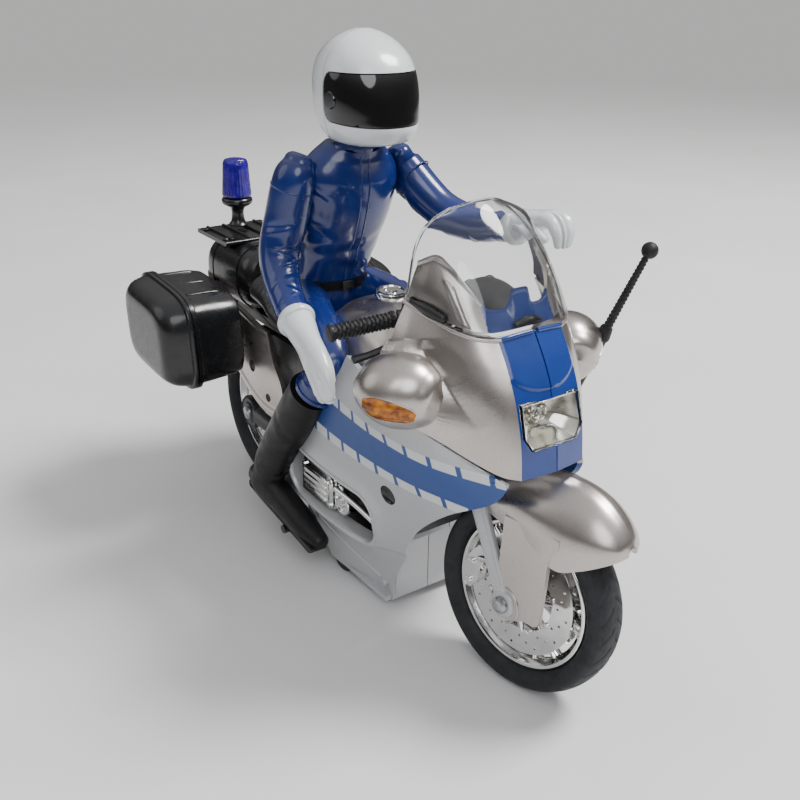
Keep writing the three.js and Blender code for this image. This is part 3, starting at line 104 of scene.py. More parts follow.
def smooth_grid(rows, n_rows, n_columns, crease=None):
    """A smooth grid through rows of control points.

    A crease is a control column where the surface has an edge.
    """
    rows = [np.asarray(r, float) for r in rows]

    def across(row, t):
        if crease is None:
            return spline_at(row, t)
        s = t * (len(row) - 1)
        if s <= crease:
            return spline_at(row[: crease + 1], s / crease)
        return spline_at(row[crease:], (s - crease) / (len(row) - 1 - crease))

    columns = np.linspace(0, 1, n_columns)
    if crease is not None:  # one column of vertices lies on the crease
        share = crease / (len(rows[0]) - 1)
        columns[np.argmin(abs(columns - share))] = share
    wide = np.array([[across(row, t) for t in columns] for row in rows])
    return np.array(
        [spline_at(wide.reshape(len(rows), -1), t) for t in np.linspace(0, 1, n_rows)]
    ).reshape(n_rows, n_columns, 3)


def grid_normals(grid):
    du = np.gradient(grid, axis=0)
    dv = np.gradient(grid, axis=1)
    n = np.cross(du, dv)
    return n / np.maximum(np.linalg.norm(n, axis=2, keepdims=True), 1e-12)


def grid_faces(rows, columns, wrap_rows=False, wrap_columns=False, base=0):
    faces = []
    for i in range(rows if wrap_rows else rows - 1):
        for j in range(columns if wrap_columns else columns - 1):
            i2, j2 = (i + 1) % rows, (j + 1) % columns
            faces.append(
                (
                    base + i * columns + j, base + i * columns + j2, base + i2 * columns + j2,
                    base + i2 * columns + j,
                )
            )
    return faces


def shell(grid, thickness, flip=False, base_grid=None):
    """A sheet whose outer face is the grid.

    Its inner face is offset from the base grid, or else from the same one.
    """
    rows, columns, _ = grid.shape
    side = thickness if flip else -thickness
    base_grid = grid if base_grid is None else base_grid
    inner = base_grid + grid_normals(base_grid) * side
    verts = np.concatenate([grid.reshape(-1, 3), inner.reshape(-1, 3)])
    base = rows * columns
    faces = grid_faces(rows, columns) + [f[::-1] for f in grid_faces(rows, columns, base=base)]
    rim = (
        [i * columns for i in range(rows)]
        + [(rows - 1) * columns + j for j in range(1, columns)]
        + [i * columns + columns - 1 for i in range(rows - 2, -1, -1)]
        + [j for j in range(columns - 2, 0, -1)]
    )
    faces += [(a, b, base + b, base + a) for a, b in zip(rim, rim[1:] + rim[:1])]
    return verts, faces


def loft(rings):
    """A closed body through rings of points, capped at both ends."""
    rings = np.asarray(rings, float)
    n, count, _ = rings.shape
    faces = grid_faces(n, count, wrap_columns=True)
    faces += [tuple(range(count))[::-1], tuple(range((n - 1) * count, n * count))]
    return rings.reshape(-1, 3), faces


def limb(stations, across, sides=40, steps=8, shape=None, round_ends=0.0):
    """A bent bar: stations are (centre, half width along `across`, half depth).

    `shape` moves each ring's points.
    """
    centres = np.array([s[0] for s in stations], float)
    sizes = np.array([[s[1], s[2]] for s in stations], float)
    n = (len(stations) - 1) * steps + 1
    angles = 2 * np.pi * np.arange(sides) / sides
    rings = []
    for i in range(n):
        t = i / (n - 1)
        centre, size = spline_at(centres, t), np.maximum(spline_at(sizes, t), 0.2)
        along = unit(spline_at(centres, min(t + 0.01, 1)) - spline_at(centres, max(t - 0.01, 0)))
        wide = unit(across - along * (across @ along))
        deep = np.cross(along, wide)
        grow = np.ones(sides) if shape is None else shape(t, angles)
        ring = (
            centre + np.outer(np.cos(angles) * size[0] * grow, wide) + np.outer(
                np.sin(angles) * size[1] * grow, deep
            )
        )
        rings.append((ring, centre, along, size))
    out = [r[0] for r in rings]
    if round_ends:
        for end, sign in ((0, -1), (-1, 1)):
            ring, centre, along, size = rings[end]
            extra = []
            for k in (0.35, 0.65, 0.86, 0.97):
                reach = round_ends * min(size) * k
                shrink = math.sqrt(max(1 - k * k, 0.0))
                extra.append(
                    centre + (ring - centre) * (
                        1 - round_ends * (1 - shrink)
                    ) + along * sign * reach
                )
            out = extra[::-1] + out if end == 0 else out + extra
    return loft(out)


def sweep(path, radii, sides=16, closed=False):
    """A round tube along a path. Radii is one number or one for each point."""
    path = np.asarray(path, float)
    n = len(path)
    radii = np.full(n, radii, float) if np.isscalar(radii) else np.asarray(radii, float)
    angles = 2 * np.pi * np.arange(sides) / sides
    rings, wide = [], None
    for i in range(n):
        a = path[(i - 1) % n] if closed or i else path[i]
        b = path[(i + 1) % n] if closed or i < n - 1 else path[i]
        along = unit(b - a)
        if wide is None:
            helper = vec(0, 0, 1) if abs(along[2]) < 0.9 else vec(1, 0, 0)
            wide = unit(np.cross(along, helper))
        wide = unit(wide - along * (wide @ along))
        deep = np.cross(along, wide)
        rings.append(
            path[i] + radii[i] * (np.outer(np.cos(angles), wide) + np.outer(np.sin(angles), deep))
        )
    if closed:
        return np.concatenate(rings), grid_faces(n, sides, True, True)
    return loft(rings)


def rod(a, b, radius, sides=24, end_radius=None, chamfer=0.0):
    a, b = np.asarray(a, float), np.asarray(b, float)
    end_radius = radius if end_radius is None else end_radius
    if not chamfer:
        return sweep([a, b], [radius, end_radius], sides)
    u = unit(b - a) * chamfer
    return sweep(
        [a, a + u, b - u, b], [radius - chamfer, radius, end_radius, end_radius - chamfer], sides
    )


def lathe(profile, n=64, centre=(0, 0, 0), axis="y"):
    """Turns (radius, height) points about an axis.

    A profile that starts and ends off the axis is closed on itself.
    """
    profile = [tuple(p) for p in profile]
    on_axis = profile[0][0] == 0 and profile[-1][0] == 0
    if not on_axis and profile[0] == profile[-1]:
        profile = profile[:-1]
    r = np.array([p[0] for p in profile])
    h = np.array([p[1] for p in profile])
    a = 2 * np.pi * np.arange(n) / n
    c, s = np.cos(a)[:, None] * r, np.sin(a)[:, None] * r
    high = np.broadcast_to(h, c.shape)
    grid = np.stack(
        [c, high, s] if axis == "y" else ([c, s, high] if axis == "z" else [high, c, s]), axis=2
    )
    verts = grid.reshape(-1, 3) + np.asarray(centre, float)
    return verts, grid_faces(n, len(profile), True, not on_axis)


def prism(outline, low, high, axis="y"):
    """An outline drawn in the two other axes, extruded between two places on this one."""
    outline = [tuple(p) for p in outline]
    n = len(outline)
    place = {
        "y": lambda a, b, h: (a, h, b), "x": lambda a, b, h: (h, a, b), "z": lambda a, b,
        h: (a, b, h),
    }[axis]
    verts = [place(a, b, low) for a, b in outline] + [place(a, b, high) for a, b in outline]
    faces = [tuple(range(n)), tuple(range(n, 2 * n))[::-1]]
    faces += [(i, i + n, (i + 1) % n + n, (i + 1) % n) for i in range(n)]
    return np.array(verts, float), faces


def rounded(x0, x1, z0, z1, r, steps=6):
    """A rectangle with round corners, anticlockwise."""
    corners = [(x1 - r, z0 + r, -90), (x1 - r, z1 - r, 0), (x0 + r, z1 - r, 90), (x0 + r, z0 + r, 180)]
    out = []
    for cx, cz, start in corners:
        for k in range(steps + 1):
            a = math.radians(start + 90 * k / steps)
            out.append((cx + r * math.cos(a), cz + r * math.sin(a)))
    return out


def block(x0, x1, y0, y1, z0, z1):
    return prism([(x0, z0), (x1, z0), (x1, z1), (x0, z1)], y0, y1)


def join(*parts):
    verts, faces, base = [], [], 0
    for v, f in parts:
        verts.append(np.asarray(v, float))
        faces += [tuple(i + base for i in face) for face in f]
        base += len(v)
    return np.concatenate(verts), faces


def flipped(part):
    """The same part on the other side of the middle plane."""
    verts, faces = part
    return np.asarray(verts) * (1, -1, 1), [f[::-1] for f in faces]


def on_side(part, side):
    """A part drawn on the left stays there for side 1 and is flipped to the right for side -1."""
    return part if side > 0 else flipped(part)


def turned(part, angle, centre, axis="y"):
    """A part turned about a line through `centre`, in degrees."""
    verts, faces = part
    m = np.array(Matrix.Rotation(math.radians(angle), 3, axis.upper()))
    return (np.asarray(verts) - centre) @ m.T + centre, faces


def onto_fork(verts):
    """Turns points drawn straight ahead about the steering axis, to where the fork stands at rest."""
    m = np.array(Matrix.Rotation(STEER, 3, Vector(STEER_AXIS)))
    return (np.asarray(verts) - STEER_PIVOT) @ m.T + STEER_PIVOT


def on_axis(distance, y=0.0):
    p = STEER_PIVOT + STEER_AXIS * distance
    return vec(p[0], y, p[2])


def on_leg(distance, y):
    return vec(FRONT_AXLE[0], y, FRONT_AXLE[2]) + STEER_AXIS * distance


def mesh_of(name, part, merge=1e-4):
    verts, faces = part
    mesh = bpy.data.meshes.new(name)
    mesh.from_pydata(np.asarray(verts, float).tolist(), [], [tuple(f) for f in faces])
    bm = bmesh.new()
    bm.from_mesh(mesh)
    bmesh.ops.remove_doubles(bm, verts=bm.verts, dist=merge)
    bmesh.ops.recalc_face_normals(bm, faces=bm.faces)
    bm.to_mesh(mesh)
    bm.free()
    return mesh


def carve(part, *tools, operation="DIFFERENCE"):
    """Boolean of a part with each tool in turn. Both have to be closed."""
    for tool in tools:
        a = bpy.data.objects.new("carved", mesh_of("carved", part))
        b = bpy.data.objects.new("tool", mesh_of("tool", tool))
        for o in (a, b):
            bpy.context.scene.collection.objects.link(o)
        m = a.modifiers.new("cut", "BOOLEAN")
        m.operation, m.solver, m.object = operation, "MANIFOLD", b
        bpy.context.view_layer.update()
        made = a.evaluated_get(bpy.context.evaluated_depsgraph_get()).to_mesh()
        part = (
            np.array([v.co[:] for v in made.vertices], float),
            [tuple(p.vertices) for p in made.polygons],
        )
        a.evaluated_get(bpy.context.evaluated_depsgraph_get()).to_mesh_clear()
        for o in (a, b):
            data = o.data
            bpy.data.objects.remove(o)
            bpy.data.meshes.remove(data)
    return part


def piece(
    name, part, material, node=None, body=None, fork=False, sharp=40, bevel=0.0, segments=2,
    paint=None,
):
    """Makes one piece, puts it on its CAD body and hides the CAD nodes it stands for.

    `node` is the CAD node it belongs to. `paint` picks a material's index from a face's middle and
    normal.
    """
    name = f"{name}_look" if name == node else name
    mesh = mesh_of(name, part)
    co = np.array([v.co[:] for v in mesh.vertices], float)
    materials = material if paint else [material]
    if paint:
        for m in materials:
            mesh.materials.append(m)
        for p in mesh.polygons:
            p.material_index = paint(np.array(p.center[:]), np.array(p.normal[:]))
    else:
        mesh.materials.append(material)
    if fork:
        co = onto_fork(co)
    co = (co + (SHIFT, 0, 0)) * MM
    mesh.vertices.foreach_set("co", co.astype(np.float32).ravel())
    mesh.update()
    mesh.shade_smooth()
    mesh.set_sharp_from_angle(angle=math.radians(sharp))
    obj = bpy.data.objects.new(name, mesh)
    bpy.context.scene.collection.objects.link(obj)
    if bevel:
        m = obj.modifiers.new("edges", "BEVEL")
        m.width, m.segments, m.limit_method = bevel * MM, segments, "ANGLE"
        m.angle_limit = math.radians(35)
        m.harden_normals = False
    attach(obj, body or BODY_OF[node])
    if node:
        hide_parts(node)
    return obj


# --------------------------------------------- materials
class Finish:
    """A principled material with helpers for its nodes. Lengths in its textures are in millimetres."""

    def __init__(self, name, color, rough, **sockets):
        self.material = bpy.data.materials.new(name)
        self.material.use_nodes = True
        self.tree = self.material.node_tree
        self.bsdf = self.tree.nodes["Principled BSDF"]
        self.set("Base Color", (*color, 1))
        self.set("Roughness", rough)
        for key, value in sockets.items():
            self.set(key.replace("_", " ").title().replace("Ior", "IOR"), value)
        self.place = self.tree.nodes.new("ShaderNodeTexCoord").outputs["Object"]
        self.height = None

    def set(self, socket, value):
        self.bsdf.inputs[socket].default_value = value

    def link(self, out, socket):
        self.tree.links.new(out, self.bsdf.inputs[socket] if isinstance(socket, str) else socket)

    def noise(self, size, detail=2.0):
        n = self.tree.nodes.new("ShaderNodeTexNoise")
        n.inputs["Scale"].default_value = 1 / (size * MM)
        n.inputs["Detail"].default_value = detail
        self.tree.links.new(self.place, n.inputs["Vector"])
        return n.outputs["Fac"]

    def cells(self, size):
        n = self.tree.nodes.new("ShaderNodeTexVoronoi")
        n.inputs["Scale"].default_value = 1 / (size * MM)
        self.tree.links.new(self.place, n.inputs["Vector"])
        gray = self.tree.nodes.new("ShaderNodeSeparateColor")
        self.tree.links.new(n.outputs["Color"], gray.inputs["Color"])
        return gray.outputs["Red"]

    def math(self, kind, a, b=None, c=None):
        n = self.tree.nodes.new("ShaderNodeMath")
        n.operation = kind
        for k, v in enumerate((a, b, c)):
            if v is None:
                continue
            if isinstance(v, (int, float)):
                n.inputs[k].default_value = v
            else:
                self.tree.links.new(v, n.inputs[k])
        return n.outputs["Value"]

    def spread(self, value, low, high, a=0.0, b=1.0):
        """Maps a value from between low and high to between a and b."""
        n = self.tree.nodes.new("ShaderNodeMapRange")
        for k, v in (("From Min", low), ("From Max", high), ("To Min", a), ("To Max", b)):
            n.inputs[k].default_value = v
        self.tree.links.new(value, n.inputs["Value"])
        return n.outputs["Result"]

    def mix(self, share, a, b):
        n = self.tree.nodes.new("ShaderNodeMix")
        n.data_type = "RGBA"
        self.tree.links.new(share, n.inputs["Factor"])
        for socket, v in (("A", a), ("B", b)):
            target = [i for i in n.inputs if i.name == socket and i.type == "RGBA"][0]
            if isinstance(v, tuple):
                target.default_value = (*v, 1)
            else:
                self.tree.links.new(v, target)
        return [o for o in n.outputs if o.type == "RGBA"][0]

    def tint(self, value, dark, light, socket="Base Color"):
        out = self.mix(value, dark, light)
        self.link(out, socket)
        return out

    def bump(self, value, strength, depth):
        n = self.tree.nodes.new("ShaderNodeBump")
        n.inputs["Strength"].default_value = strength
        n.inputs["Distance"].default_value = depth * MM
        self.tree.links.new(value, n.inputs["Height"])
        if self.height is not None:
            self.tree.links.new(self.height, n.inputs["Normal"])
        self.height = n.outputs["Normal"]
        self.link(self.height, "Normal")

    def axes(self):
        n = self.tree.nodes.new("ShaderNodeSeparateXYZ")
        self.tree.links.new(self.place, n.inputs["Vector"])
        return n.outputs


def shade(color, factor):
    return tuple(min(c * factor, 1.0) for c in color)


def silver_paint(name, color, metallic=0.85, rough=0.33, flake=0.16, contrast=0.16, coat=0.35):
    f = Finish(name, color, rough, metallic=metallic, coat_weight=coat, coat_roughness=0.12)
    sparkle = f.cells(flake)
    cloud = f.noise(9, 3)
    speckle = f.math("ADD", f.math("MULTIPLY", sparkle, 0.8), f.math("MULTIPLY", cloud, 0.4))
    f.tint(f.spread(speckle, 0.15, 1.05), shade(color, 1 - contrast), shade(color, 1 + contrast))
    f.link(f.spread(f.noise(6, 2), 0.3, 0.75, rough - 0.03, rough + 0.05), "Roughness")
    f.bump(f.noise(2.4, 1), 0.08, 0.05)
    return f.material


def gloss(name, color, rough=0.2, variation=0.08, peel=1.5, coat=0.4, grain=None, dust=0.0, **more):
    """Shiny moulded plastic: slightly uneven gloss, a soft ripple, and a few dull specks."""
    f = Finish(name, color, rough, coat_weight=coat, coat_roughness=0.06, **more)
    cloud = f.noise(7, 4)
    f.tint(f.spread(cloud, 0.3, 0.7), shade(color, 1 - variation), shade(color, 1 + variation))
    smear = f.noise(3.2, 5)
    f.link(f.spread(smear, 0.35, 0.75, rough * 0.85, rough * 1.35), "Roughness")
    f.bump(f.noise(peel, 2), 0.16, 0.05)
    if grain:
        f.bump(f.noise(grain, 3), 0.35, 0.05)
    if dust:
        specks = f.spread(f.noise(0.35, 1), 0.74, 0.8)
        base = f.bsdf.inputs["Base Color"].links[0].from_socket
        f.link(f.mix(f.math("MULTIPLY", specks, dust), base, (0.35, 0.34, 0.32)), "Base Color")
    return f.material


def plated(name, color=(0.80, 0.80, 0.79), rough=0.09):
    f = Finish(name, color, rough, metallic=1.0)
    f.link(f.spread(f.noise(2.5, 4), 0.3, 0.8, rough * 0.6, rough * 2.2), "Roughness")
    f.tint(f.spread(f.noise(5, 3), 0.3, 0.7), shade(color, 0.9), shade(color, 1.06))
    f.bump(f.noise(2.2, 3), 0.22, 0.07)
    return f.material


def clear(name, color, rough=0.03, ior=1.45, transmission=1.0, ripple=0.1, **more):
    f = Finish(name, color, rough, ior=ior, transmission_weight=transmission, **more)
    f.link(f.spread(f.noise(6, 3), 0.4, 0.8, rough, rough + 0.04), "Roughness")
    f.bump(f.noise(8, 2), ripple, 0.05)
    return f.material


SILVER = silver_paint(
    "silver_paint", (0.50, 0.462, 0.435), metallic=0.95, rough=0.29, flake=0.13, contrast=0.10
)
GREY_SILVER = silver_paint(
    "satin_grey_silver", (0.50, 0.51, 0.525), metallic=0.35, rough=0.40, contrast=0.07, coat=0.15
)
CHROME = plated("bright_plating")
STEEL = plated("bright_steel", (0.42, 0.43, 0.45), 0.22)
BLACK_GLOSS = gloss("black_gloss", (0.008, 0.0085, 0.0095), 0.24, 0.2, coat=0.15, dust=0.06)
BLACK_SATIN = gloss("black_satin", (0.014, 0.0145, 0.016), 0.36, 0.2, coat=0.1, grain=0.35, dust=0.12)
# a deep flat black that stands for the shade inside openings and holes: painted shade
PAINTED_SHADE_BLACK = gloss("painted_shade_black", (0.006, 0.006, 0.007), 0.5, 0.2, coat=0.0)
VISOR_BLACK = gloss("visor_black", (0.004, 0.004, 0.005), 0.09, 0.1, peel=4, coat=0.8)
BOOT_BLACK = gloss(
    "boot_black", (0.006, 0.006, 0.007), 0.42, 0.2, peel=2.0, coat=0.0, grain=0.6,
    specular_ior_level=0.35,
)
SUIT_BLUE = gloss("suit_blue", (0.007, 0.022, 0.145), 0.22, 0.16, peel=1.1, coat=0.45, dust=0.04)
STRIPE_BLUE = gloss("stripe_blue", (0.009, 0.040, 0.225), 0.22, 0.07, coat=0.4)
WHITE = gloss("white_gloss", (0.70, 0.745, 0.765), 0.22, 0.02, coat=0.45)
GEAR = gloss("natural_nylon", (0.72, 0.68, 0.58), 0.45, 0.04, coat=0.0, grain=0.25)
CLEAR = clear("clear_plastic", (0.96, 0.975, 0.98), 0.02, 1.42, ripple=0.06)
CLEAR_EDGE = clear("clear_edge", (0.80, 0.85, 0.88), 0.10, 1.45, ripple=0.3)
LENS = clear("lens_plastic", (0.97, 0.97, 0.95), 0.03, 1.4, ripple=0.05)
REFLECTOR = plated("reflector_plating", (0.83, 0.82, 0.76), 0.12)
DARK_BLUE = gloss("dark_blue_core", (0.01, 0.01, 0.10), 0.3, 0.1)


def rubber(name, color=(0.016, 0.0175, 0.0205), rough=0.62, grain=0.3):
    f = Finish(name, color, rough, specular_ior_level=0.35)
    f.tint(f.spread(f.noise(4, 5), 0.3, 0.75), shade(color, 0.75), shade(color, 1.5))
    f.link(f.spread(f.noise(1.5, 4), 0.3, 0.75, rough - 0.1, rough + 0.12), "Roughness")
    f.bump(f.noise(grain, 3), 0.3, 0.04)
    return f.material


TYRE = rubber("tyre_rubber")
RUBBER = rubber("soft_black_rubber", (0.012, 0.012, 0.013), 0.5)


def ribbed_lens(name, color, deep, transmission, pitch, axis, rough=0.1):
    """A coloured lens with moulded prisms across it."""
    f = Finish(
        name, color, rough, transmission_weight=transmission, ior=1.46, coat_weight=0.2,
        coat_roughness=0.05,
    )
    along = f.math("MULTIPLY", f.axes()[axis], 1 / (pitch * MM))
    ridge = f.math("PINGPONG", along, 1.0)
    f.tint(f.spread(f.noise(2.0, 3), 0.38, 0.62), deep, color)
    f.bump(ridge, 0.9, 0.4)
    return f.material


AMBER = ribbed_lens("amber_lens_plastic", (0.80, 0.27, 0.012), (0.26, 0.055, 0.003), 0.25, 0.9, "Z")
BLUE_LENS = ribbed_lens("blue_lens_plastic", (0.040, 0.008, 0.42), (0.022, 0.005, 0.25), 0.30, 0.6, "X")
RED_LENS = ribbed_lens("red_lens_plastic", (0.50, 0.012, 0.008), (0.28, 0.006, 0.004), 0.25, 0.8, "Y")

# The printed band on the lower shells: blue, with white blocks along both edges.
BAND = {"low": 46.4, "high": 60.6, "pitch": 7.6, "gap": 1.3, "block": 2.7, "start": -8.0}


def band_material():
    f = Finish(
        "satin_grey_silver_with_band", (0.5, 0.51, 0.525), 0.4, coat_weight=0.15, coat_roughness=0.2
    )
    base = (0.50, 0.51, 0.525)
    x, _, z = (f.axes()[k] for k in ("X", "Y", "Z"))
    x = f.math("ADD", f.math("MULTIPLY", x, 1 / MM), -SHIFT)
    z = f.math("MULTIPLY", z, 1 / MM)

    def inside(value, low, high, soft=0.12):
        return f.math(
            "MULTIPLY", f.spread(value, low - soft, low + soft),
            f.spread(value, high + soft, high - soft),
        )

    blue = f.math(
        "MULTIPLY", inside(z, BAND["low"], BAND["high"]),
        f.spread(x, BAND["start"], BAND["start"] + 0.3),
    )
    edge_low = inside(z, BAND["low"] - 0.1, BAND["low"] + BAND["block"])
    edge_high = inside(z, BAND["high"] - BAND["block"], BAND["high"] + 0.1)
    slot = f.math(
        "MODULO", f.math("ADD", f.math("ADD", x, 200 * BAND["pitch"]), f.math("MULTIPLY", z, 0.12)),
        BAND["pitch"],
    )
    white = f.math(
        "MULTIPLY", f.math("ADD", edge_low, edge_high), inside(slot, BAND["gap"], BAND["pitch"] + 1)
    )
    white = f.math("MULTIPLY", white, blue)
    sparkle = f.cells(0.16)
    grey = f.mix(sparkle, shade(base, 0.95), shade(base, 1.05))
    ink = f.mix(f.noise(6, 2), (0.016, 0.062, 0.25), (0.018, 0.068, 0.27))
    paper = f.mix(f.noise(3, 3), (0.60, 0.62, 0.63), (0.70, 0.72, 0.73))
    f.link(f.mix(white, f.mix(blue, grey, ink), paper), "Base Color")
    f.link(f.spread(blue, 0, 1, 0.35, 0.0), "Metallic")
    f.link(f.spread(f.noise(5, 2), 0.3, 0.75, 0.36, 0.42), "Roughness")
    f.bump(f.noise(2.4, 1), 0.08, 0.05)
    return f.material


BANDED = band_material()


# --------------------------------------------- camera, stage and light
CAMERA = {
    "place": (206.57, -142.48, 166.35), "azimuth": 54.378, "elevation": 24.442, "roll": 0.987,
    "lens": 44.67,
}


def make_camera():
    data = bpy.data.cameras.new("camera")
    data.lens, data.sensor_width = CAMERA["lens"], 36
    data.clip_start, data.clip_end = 0.01, 20
    obj = bpy.data.objects.new("camera", data)
    bpy.context.scene.collection.objects.link(obj)
    a, e, r = (math.radians(CAMERA[k]) for k in ("azimuth", "elevation", "roll"))
    back = Vector((math.sin(a) * math.cos(e), -math.cos(a) * math.cos(e), math.sin(e)))
    right = Vector((math.cos(a), math.sin(a), 0))
    up = back.cross(right)
    right2 = math.cos(r) * right + math.sin(r) * up
    up2 = -math.sin(r) * right + math.cos(r) * up
    m = Matrix((right2, up2, back)).transposed().to_4x4()
    m.translation = Vector(
        ((CAMERA["place"][0] + SHIFT) * MM, CAMERA["place"][1] * MM, CAMERA["place"][2] * MM)
    )
    obj.matrix_world = m
    bpy.context.scene.camera = obj
    return right, back


# metres from the middle: where the sheet starts to fade, and where it ends
FLOOR = {"fade": 0.55, "edge": 1.3}


def area_light(name, place, target, size, power, color=(1, 1, 1)):
    data = bpy.data.lights.new(name, "AREA")
    data.shape, data.size, data.energy, data.color = "DISK", size, power, color
    obj = bpy.data.objects.new(name, data)
    bpy.context.scene.collection.objects.link(obj)
    obj.location = place
    obj.rotation_euler = (Vector(place) - Vector(target)).to_track_quat("Z", "Y").to_euler()
    return obj


def make_stage(right, back):
    ahead = Vector((-back.x, -back.y, 0)).normalized()
    # a round sheet that fades out, so that every side of the object can be seen over it
    floor_mesh = bpy.data.meshes.new("floor")
    floor = bpy.data.objects.new("floor", floor_mesh)
    bpy.context.scene.collection.objects.link(floor)
    rim = [
        (FLOOR["edge"] * math.cos(a), FLOOR["edge"] * math.sin(a), 0.0)
        for a in 2 * np.pi * np.arange(96) / 96
    ]
    floor_mesh.from_pydata(rim, [], [tuple(range(96))])
    f = Finish("paper_floor", (0.74, 0.74, 0.745), 0.75, specular_ior_level=0.25)
    f.tint(f.spread(f.noise(90, 3), 0.35, 0.7), (0.718, 0.718, 0.723), (0.762, 0.762, 0.767))
    f.bump(f.noise(0.8, 2), 0.05, 0.05)
    x, y, _ = (f.axes()[k] for k in ("X", "Y", "Z"))
    away = f.math("SQRT", f.math("ADD", f.math("MULTIPLY", x, x), f.math("MULTIPLY", y, y)))
    f.link(f.spread(away, FLOOR["fade"], FLOOR["edge"], 1.0, 0.0), "Alpha")
    floor_mesh.materials.append(f.material)

    world = bpy.data.worlds.new("room")
    bpy.context.scene.world = world
    world.use_nodes = True
    # light from above, darker towards the horizon, as in a room
    tree = world.node_tree
    sky = tree.nodes["Background"]
    place = tree.nodes.new("ShaderNodeTexCoord")
    axes = tree.nodes.new("ShaderNodeSeparateXYZ")
    ramp = tree.nodes.new("ShaderNodeMapRange")
    ramp.interpolation_type = "SMOOTHSTEP"
    for k, v in (("From Min", 0.05), ("From Max", 0.95), ("To Min", 0.10), ("To Max", 0.80)):
        ramp.inputs[k].default_value = v
    tree.links.new(place.outputs["Generated"], axes.inputs["Vector"])
    tree.links.new(axes.outputs["Z"], ramp.inputs["Value"])
    tree.links.new(ramp.outputs["Result"], sky.inputs["Strength"])
    haze = tree.nodes.new("ShaderNodeMix")
    haze.data_type = "RGBA"
    haze.inputs[6].default_value = (0.93, 0.87, 0.82, 1)
    haze.inputs[7].default_value = (0.96, 0.97, 1.0, 1)
    tree.links.new(ramp.outputs["Result"], haze.inputs[0])
    tree.links.new(haze.outputs[2], sky.inputs["Color"])
    backdrop = tree.nodes.new("ShaderNodeBackground")
    backdrop.inputs["Color"].default_value = (0.95, 0.94, 0.93, 1)
    backdrop.inputs["Strength"].default_value = 0.55
    seen = tree.nodes.new("ShaderNodeLightPath")
    either = tree.nodes.new("ShaderNodeMixShader")
    tree.links.new(seen.outputs["Is Camera Ray"], either.inputs[0])
    tree.links.new(sky.outputs[0], either.inputs[1])
    tree.links.new(backdrop.outputs[0], either.inputs[2])
    tree.links.new(either.outputs[0], tree.nodes["World Output"].inputs["Surface"])
    centre = (0, 0, 0.07)
    key = Vector(right) * 0.62 + Vector((0, 0, 0.95)) + ahead * 0.12
    area_light("key", tuple(key), centre, 0.42, 16.5, (1.0, 0.985, 0.96))
    front = -ahead * 0.9 + Vector((0, 0, 0.75)) + Vector(right) * 0.1
    area_light("front", tuple(front), centre, 0.7, 4.2, (0.95, 0.97, 1.0))
    side = -Vector(right) * 0.8 + Vector((0, 0, 0.5))
    area_light("side", tuple(side), centre, 0.6, 0.8)


camera_right, camera_back = make_camera()
make_stage(camera_right, camera_back)


# --------------------------------------------- wheels
def tyre_piece(name, centre, radius, half, bead, fork, tread_depth=0.3):
    """Tyre with round shoulders, a ring on each sidewall, and slanted tread grooves."""
    n = 300
    depth = radius - bead
    side = [
        (bead, 0.60), (bead + depth * 0.08, 0.74), (bead + depth * 0.2, 0.86),
        (bead + depth * 0.42, 0.97), (bead + depth * 0.6, 1.0), (bead + depth * 0.72, 0.965),
        (bead + depth * 0.83, 0.86),
    ]
    tread = [
        (radius * 1.0 - depth * 0.17 * (abs(w) ** 2.6), w * 0.84)
        for w in np.linspace(0.98, -0.98, 31)
    ]
    profile = [(r, -w * half) for r, w in side] + [(r, -w * half) for r, w in tread] + [
        (r, w * half) for r, w in side[::-1]
    ]
    profile += [(bead, w * half) for w in (0.3, 0.0, -0.3)]
    verts, faces = lathe(profile, n, (0, 0, 0))
    angle = np.arctan2(verts[:, 2], verts[:, 0])
    r = np.hypot(verts[:, 0], verts[:, 2])
    share = np.clip(abs(verts[:, 1]) / (half * 0.84), 0, 1)
    pitch = 2 * np.pi / 30
    phase = (
        (
            angle + share * 0.16 * np.sign(verts[:, 1] + 1e-9) ** 2 + (verts[:, 1] > 0) * pitch / 2
        ) % pitch
    ) / pitch
    groove = np.clip(1 - abs(phase - 0.5) / 0.11, 0, 1) * (share > 0.12) * (share < 0.99) * (
        r > bead + depth * 0.78
    )
    cut = groove * tread_depth
    scale = (r - np.minimum(cut, tread_depth)) / np.maximum(r, 1e-9)
    verts = verts * np.stack([scale, np.ones_like(scale), scale], axis=1) + centre
    return piece(name, (verts, faces), TYRE, node=name, fork=fork, sharp=50)


def disc_with_holes(inner, outer, y0, y1, seed_turn, n=144):
    """A brake disc drilled with rings of small holes."""
    radii = np.linspace(inner, outer, 10)
    a = 2 * np.pi * np.arange(n) / n + seed_turn
    holes = set()
    for ring, start in ((2, 0), (4, 4), (6, 8)):
        for k in range(start, n, 12):
            holes.add((k % n, ring))
    verts, faces = [], []
    for y in (y0, y1):
        for i in range(n):
            for r in radii:
                verts.append((r * math.cos(a[i]), y, r * math.sin(a[i])))
    columns = len(radii)
    base = n * columns

    def quad(p, q, r, s):
        faces.append((p, q, r, s))

    solid_cells = {(i, j) for i in range(n) for j in range(columns - 1)} - holes
    for i, j in sorted(solid_cells):
        i2 = (i + 1) % n
        quad(i * columns + j, i * columns + j + 1, i2 * columns + j + 1, i2 * columns + j)
        quad(
            base + i * columns + j, base + i2 * columns + j, base + i2 * columns + j + 1,
            base + i * columns + j + 1,
        )
        for (ni, nj), (p, q) in (
            ((i, j - 1), ((i, j), (i2, j))), ((i, j + 1), ((i2, j + 1), (i, j + 1))),
            (((i - 1) % n, j), ((i, j + 1), (i, j))), ((i2, j), ((i2, j), (i2, j + 1))),
        ):
            if (ni, nj) not in solid_cells:
                p1, q1 = p[0] * columns + p[1], q[0] * columns + q[1]
                quad(p1, q1, base + q1, base + p1)
    return np.array(verts), faces


